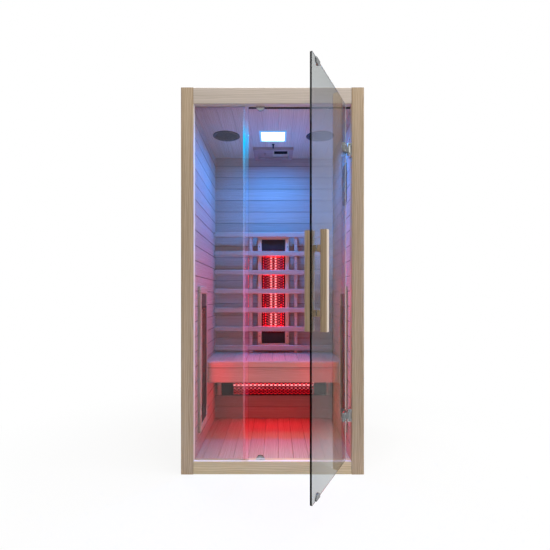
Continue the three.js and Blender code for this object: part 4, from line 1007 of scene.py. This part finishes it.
class SAUNA_OT_heaters(bpy.types.Operator):
    """Makes the reflectors, the expanded metal guards and the glow of the four heaters"""

    bl_idname = "sauna.heaters"
    bl_label = "Heaters"

    def execute(self, context):
        settings = context.scene.sauna_heater
        enamel = mottled("black_enamel", (0.022, 0.020, 0.023), (0.036, 0.033, 0.037), 25.0, 0.36, 0.5, 0.1,
                         Specular_IOR_Level=0.12)
        # Painted light: the foil's glow and its red tint stand in for the tube's red light on the polished foil
        polished = mottled("reflector_foil", (0.80, 0.16, 0.19), (0.68, 0.11, 0.14), 12.0, 0.05, 0.10, 0.15,
                           Metallic=1.0, Emission_Color=(1.0, 0.012, 0.035), Emission_Strength=0.25)
        mesh_steel = mottled("guard_steel", (0.034, 0.004, 0.008), (0.050, 0.007, 0.012), 50.0, 0.55, 0.7,
                             Specular_IOR_Level=0.03)
        tube = glowing("quartz", lambda place: noise(place, 40.0),
                       ((1.0, 0.34, 0.38), (1.0, 0.22, 0.25)), ((0.9, 0.45, 0.38), (0.8, 0.30, 0.25)),
                       Roughness=0.12, Emission_Strength=1.5)
        tree = expanded_metal()
        powers = {"back": settings.back_power, "bench": settings.bench_power}
        for name in HEATERS:
            dress(enamel, f"{name}_heater_housing")
            dress(tube, f"{name}_heater_tube")
            place = heater_frame(name)[0]
            self.add_reflector(name, place, polished)
            self.add_guard(name, place, tree, settings, mesh_steel)
            self.add_glow(name, place, settings.glow, powers.get(name, settings.side_power))
        dress(enamel, "temperature_probe")
        return {"FINISHED"}

    def add_reflector(self, name, place, material):
        """A thin polished trough that lines the housing's recess."""
        half_width, depth, half_length = 0.0725, 0.0254, 0.2770
        thickness = 0.0006
        steps = 28
        arc = [math.pi * i / steps for i in range(steps + 1)]
        rings = []
        for along, inset in ((-half_length, 0.0), (half_length, 0.0), (half_length, thickness),
                             (-half_length, thickness)):
            wide, deep = half_width - inset, inset - depth
            rings.append([Vector((wide * math.cos(a), along, deep * math.sin(a))) for a in arc])
        shape = bmesh.new()
        skin(shape, place, rings, False)
        add_shape(f"{name}_heater_reflector", shape, material, "cabin")

    def add_guard(self, name, place, tree, settings, material):
        """The expanded metal guard over a heater's tube."""
        low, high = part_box(f"{name}_heater_guard")
        along, out, _ = HEATERS[name]
        size = high - low
        depth = settings.strand * math.sin(STRAND_LEAN) + settings.sheet
        seat = place.copy()
        seat.translation = (low + high) / 2 + out * (depth / 2 - abs(size.dot(out)) / 2)
        columns, rows = settings.mesh_columns, settings.mesh_rows
        if name == "bench":
            columns, rows = settings.bench_columns, settings.bench_rows
        mesh = grow(f"{name}_heater_mesh", tree, seat, width=abs(size.dot(along.cross(out))) - 2 * GUARD_RIM,
                    length=abs(size.dot(along)) - 2 * GUARD_RIM, columns=columns, rows=rows,
                    strand=settings.strand, sheet=settings.sheet, rim=GUARD_RIM, material=material)
        add_piece(mesh.name, mesh, "cabin", [f"{name}_heater_guard"])

    def add_glow(self, name, place, colour, strength):
        """A red lamp over the guard, which stands for the tube's light in the room."""
        width, high, gap = 0.14, 0.55, 0.006
        lean = BENCH_LEAN if name == "bench" else 0.0
        clear = gap + width / 2 * math.sin(lean)
        turn = place.to_3x3() @ Matrix.Rotation(math.pi + lean, 3, "Y")
        seat = Matrix.Translation(place @ Vector((0, 0, clear))) @ turn.to_4x4()
        add_lamp(f"{name}_glow", seat, (width, high), colour, strength, sheen=name != "bench")


class SAUNA_OT_surrounds(bpy.types.Operator):
    """Makes the wooden borders round the heaters, with their screws"""

    bl_idname = "sauna.surrounds"
    bl_label = "Heater surrounds"

    def execute(self, context):
        sizes = context.scene.sauna_heater
        end_inset, across_border = 0.05, 0.6
        # The borders take the ceiling's paler wood, which is painted light
        wood = timber("surround_timber", "ceiling", "X", "Y", place="board")
        brown = mottled("screw_steel", (0.16, 0.13, 0.11), (0.26, 0.22, 0.19), 80.0, 0.3, 0.5, Metallic=1.0)
        spots = []
        for name in HEATERS:
            place, half_width, half_length, proud = heater_frame(name)
            shape = bmesh.new()
            for along, low, high in self.boards(name, sizes, half_width, half_length):
                add_board(shape, place, (*low, SURROUND_GAP - proud), (*high, SURROUND_FRONT), along,
                          SURROUND_EASE)
            add_shape(f"{name}_heater_surround", shape, wood, "cabin")
            if name == "bench":
                continue
            for across in (-1, 1):
                for along in (-1, 1):
                    head = Vector((across * (half_width + across_border * sizes.border),
                                   along * (half_length - end_inset), SURROUND_FRONT))
                    spots.append((place @ head, HEATERS[name][1]))
        screws("surround_screws", spots, 0.0042, 0.0012, brown)
        return {"FINISHED"}

    def boards(self, name, sizes, half_width, half_length):
        """The boards round a heater: the axis that the grain runs along, and two corners across and along."""
        inner, outer = half_width + SURROUND_GAP, half_width + sizes.border
        end, far = half_length + SURROUND_GAP, half_length + sizes.end_border
        if name == "bench":
            far = half_length + sizes.border
            return [(0, (-half_width, end), (half_width, far)), (0, (-half_width, -far), (half_width, -end))]
        return [
            (1, (inner, -half_length), (outer, half_length)),
            (1, (-outer, -half_length), (-inner, half_length)),
            (0, (-outer, end), (outer, far)),
            (0, (-outer, -far), (outer, -end)),
        ]


class SAUNA_OT_ceiling(bpy.types.Operator):
    """Makes the speaker grilles and lights the colour lamp in the ceiling"""

    bl_idname = "sauna.ceiling"
    bl_label = "Speakers and light"

    def execute(self, context):
        settings = context.scene.sauna_ceiling
        dress(mottled("speaker_rim", (0.020, 0.024, 0.034), (0.032, 0.038, 0.050), 30.0, 0.3, 0.45, 0.1),
              "left_speaker right_speaker")
        # Painted glow: a faint cyan light on the frame round the diffuser, which is no lamp
        dress(mottled("light_frame", (0.52, 0.60, 0.66), (0.46, 0.54, 0.62), 40.0, 0.3, 0.42, 0.05,
                      Emission_Color=(0.03, 0.55, 0.85), Emission_Strength=0.35), "light_frame")
        dress(glowing("diffuser", self.lamp_rows, ((0.85, 0.97, 1.0), (0.62, 0.88, 1.0)),
                      ((0.90, 0.95, 0.97), (0.82, 0.90, 0.95)), Roughness=0.4, Emission_Strength=2.4),
              "light_diffuser")
        self.add_grilles(settings)
        self.add_glow(settings)
        return {"FINISHED"}

    def lamp_rows(self, place):
        """Rows of small lamps behind a frosted panel."""
        return flow(place.tree, "ShaderNodeTexVoronoi", {"Vector": place, "Scale": 50.0, "Randomness": 0.0},
                    "Distance", voronoi_dimensions="3D")

    def add_grilles(self, settings):
        """The perforated domes in front of the speakers."""
        radius, dome, sheet, set_back = 0.066, 0.006, 0.0008, 0.0056
        paint = mottled("speaker_grille", (0.030, 0.036, 0.050), (0.045, 0.052, 0.070), 60.0, 0.3, 0.5,
                        Metallic=0.4)
        tree = perforated_dome()
        for name in ("left_speaker", "right_speaker"):
            low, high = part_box(name)
            centre = (low + high) / 2
            centre.z = low.z + set_back
            seat = Matrix.Translation(centre) @ Matrix.Rotation(math.pi, 4, "X")
            mesh = grow(f"{name}_grille", tree, seat, radius=radius, pitch=settings.grille_pitch,
                        open=settings.grille_open, dome=dome, sheet=sheet, material=paint)
            add_piece(mesh.name, mesh, "cabin")

    def add_glow(self, settings):
        """The colour light's lamp, just below its diffuser, and what it throws back at the ceiling."""
        size = (LIGHT_SIDE, LIGHT_SIDE)
        forward, clear, spill_drop = 0.02, 0.002, 0.45
        low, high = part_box("light_frame")
        middle = (low + high) / 2
        down = Matrix.Translation((middle.x, middle.y - forward, low.z - clear))
        lamp = add_lamp("colour_light", down, size, settings.glow, settings.light_power, sheen=True)
        lamp.spread = LIGHT_SPREAD
        up = Matrix.Translation((middle.x, middle.y, low.z - spill_drop)) @ Matrix.Rotation(math.pi, 4, "X")
        add_lamp("colour_spill", up, size, settings.glow, settings.spill)


class SAUNA_OT_electrics(bpy.types.Operator):
    """Finishes the control panel, the power unit, the vent's duct and the roof's screws"""

    bl_idname = "sauna.electrics"
    bl_label = "Panel and roof"

    def execute(self, context):
        dress(mottled("dark_glass", (0.010, 0.011, 0.016), (0.016, 0.017, 0.024), 20.0, 0.06, 0.14),
              "control_panel")
        dress(mottled("grey_plastic", (0.09, 0.095, 0.10), (0.12, 0.125, 0.13), 60.0, 0.45, 0.6, 0.15),
              "power_unit")
        self.add_touch_marks()
        self.add_louvres()
        self.add_roof_screws()
        return {"FINISHED"}

    def add_roof_screws(self):
        """Screws along the four edges of the roof."""
        steel = mottled("roof_screw_steel", (0.45, 0.43, 0.38), (0.55, 0.53, 0.48), 60.0, 0.25, 0.4,
                        Metallic=1.0)
        inset, along_edge = 0.02, 6
        low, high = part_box("roof_cover")
        start = low + Vector((inset, inset, 0))
        reach = high - low - Vector((2 * inset, 2 * inset, 0))
        spots = []
        for i in range(along_edge):
            x, y = (start + reach * (i / (along_edge - 1))).xy
            spots += [(x, low.y + inset), (x, high.y - inset)]
            if 0 < i < along_edge - 1:
                spots += [(low.x + inset, y), (high.x - inset, y)]
        screws("roof_screws", [(Vector((x, y, high.z)), (0, 0, 1)) for x, y in spots], 0.0045, 0.0014, steel)

    def add_louvres(self):
        """A near-black liner in the vent's duct, a painted shade in the hole, with slanted slats that keep rain
        and daylight out.
        """
        slats, overlap, drop = 5, 0.72, 0.022
        half_sheet, painted_shade_sleeve, gap = 0.0008, 0.0012, 0.0006
        plastic = mottled("louvre_plastic", (0.012, 0.012, 0.014), (0.020, 0.020, 0.023), 60.0, 0.5, 0.65,
                          0.15, Specular_IOR_Level=0.15)
        (left, near, _), (right, far, rim) = next(
            hole["box_m"] for hole in frame["record"]["physics"]["openings"] if hole["name"] == "vent_duct")
        pitch = (far - near) / slats
        half_width = overlap * pitch
        half = (right - left) / 2
        shape = bmesh.new()
        for i in range(slats):
            centre = Vector(((left + right) / 2, near + (i + 0.5) * pitch, rim - drop))
            seat = Matrix.Translation(centre) @ Matrix.Rotation(math.pi / 4, 4, "X")
            corner = Vector((half, half_width, half_sheet))
            add_board(shape, seat, -corner, corner, 0, THIN_EASE)
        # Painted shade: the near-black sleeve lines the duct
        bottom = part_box("ceiling_lining")[0].z + gap
        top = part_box("roof_cover")[1].z - gap
        for x0, x1, y0, y1 in ((left, left + painted_shade_sleeve, near, far), (right - painted_shade_sleeve, right, near, far),
                               (left, right, near, near + painted_shade_sleeve), (left, right, far - painted_shade_sleeve, far)):
            add_board(shape, Matrix(), (x0, y0, bottom), (x1, y1, top), 2, THIN_EASE)
        add_shape("vent_louvres", shape, plastic, "cabin")

    def add_touch_marks(self):
        """Plain rings on the panel's glass."""
        sides, outer, inner, proud = 24, 0.011, 0.0095, 0.0003
        columns, rows = (-0.026, 0.026), (-0.075, -0.035, 0.005)
        glow = glowing("touch_marks", lambda place: noise(place, 600.0),
                       ((0.5, 0.7, 0.9), (0.6, 0.8, 1.0)), ((0.4, 0.5, 0.6), (0.5, 0.6, 0.7)),
                       Roughness=0.4, Emission_Strength=0.5)
        low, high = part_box("control_panel")
        middle = (low + high) / 2
        face = Matrix(((0, 0, -1), (-1, 0, 0), (0, 1, 0))).to_4x4()
        face.translation = Vector((low.x, middle.y, middle.z))
        circle = [(math.cos(math.tau * i / sides), math.sin(math.tau * i / sides)) for i in range(sides)]
        shape = bmesh.new()
        for across, rise in ((x, z) for x in columns for z in rows):
            rings = []
            for radius, height in ((outer, 0.0), (outer, proud), (inner, proud), (inner, 0.0)):
                rings.append([Vector((across + radius * x, rise + radius * y, height)) for x, y in circle])
            skin(shape, face, rings, True)
        add_shape("touch_marks", shape, glow, "cabin")


class SAUNA_PT_cabin(bpy.types.Panel):
    """Steps that dress the cabin, in order"""

    bl_idname = "SAUNA_PT_cabin"
    bl_label = "Sauna cabin"
    bl_space_type = "VIEW_3D"
    bl_region_type = "UI"
    bl_category = "Sauna"

    def draw(self, context):
        for step in STEPS:
            self.layout.operator(step.bl_idname)
        for name in GROUPS:
            box = self.layout.box()
            for key in GROUPS[name].__annotations__:
                box.prop(getattr(context.scene, name), key)


STEPS = (
    SAUNA_OT_stage,
    SAUNA_OT_timber,
    SAUNA_OT_glazing,
    SAUNA_OT_metalwork,
    SAUNA_OT_heaters,
    SAUNA_OT_surrounds,
    SAUNA_OT_ceiling,
    SAUNA_OT_electrics,
)
CLASSES = (*GROUPS.values(), *STEPS, SAUNA_PT_cabin)


def register():
    for cls in CLASSES:
        bpy.utils.register_class(cls)
    for name, group in GROUPS.items():
        setattr(bpy.types.Scene, name, PointerProperty(type=group))


def unregister():
    for name in GROUPS:
        delattr(bpy.types.Scene, name)
    for cls in reversed(CLASSES):
        bpy.utils.unregister_class(cls)


def main():
    register()
    for step in STEPS:
        family, name = step.bl_idname.split(".")
        getattr(getattr(bpy.ops, family), name)()


if __name__ == "__main__":
    main()
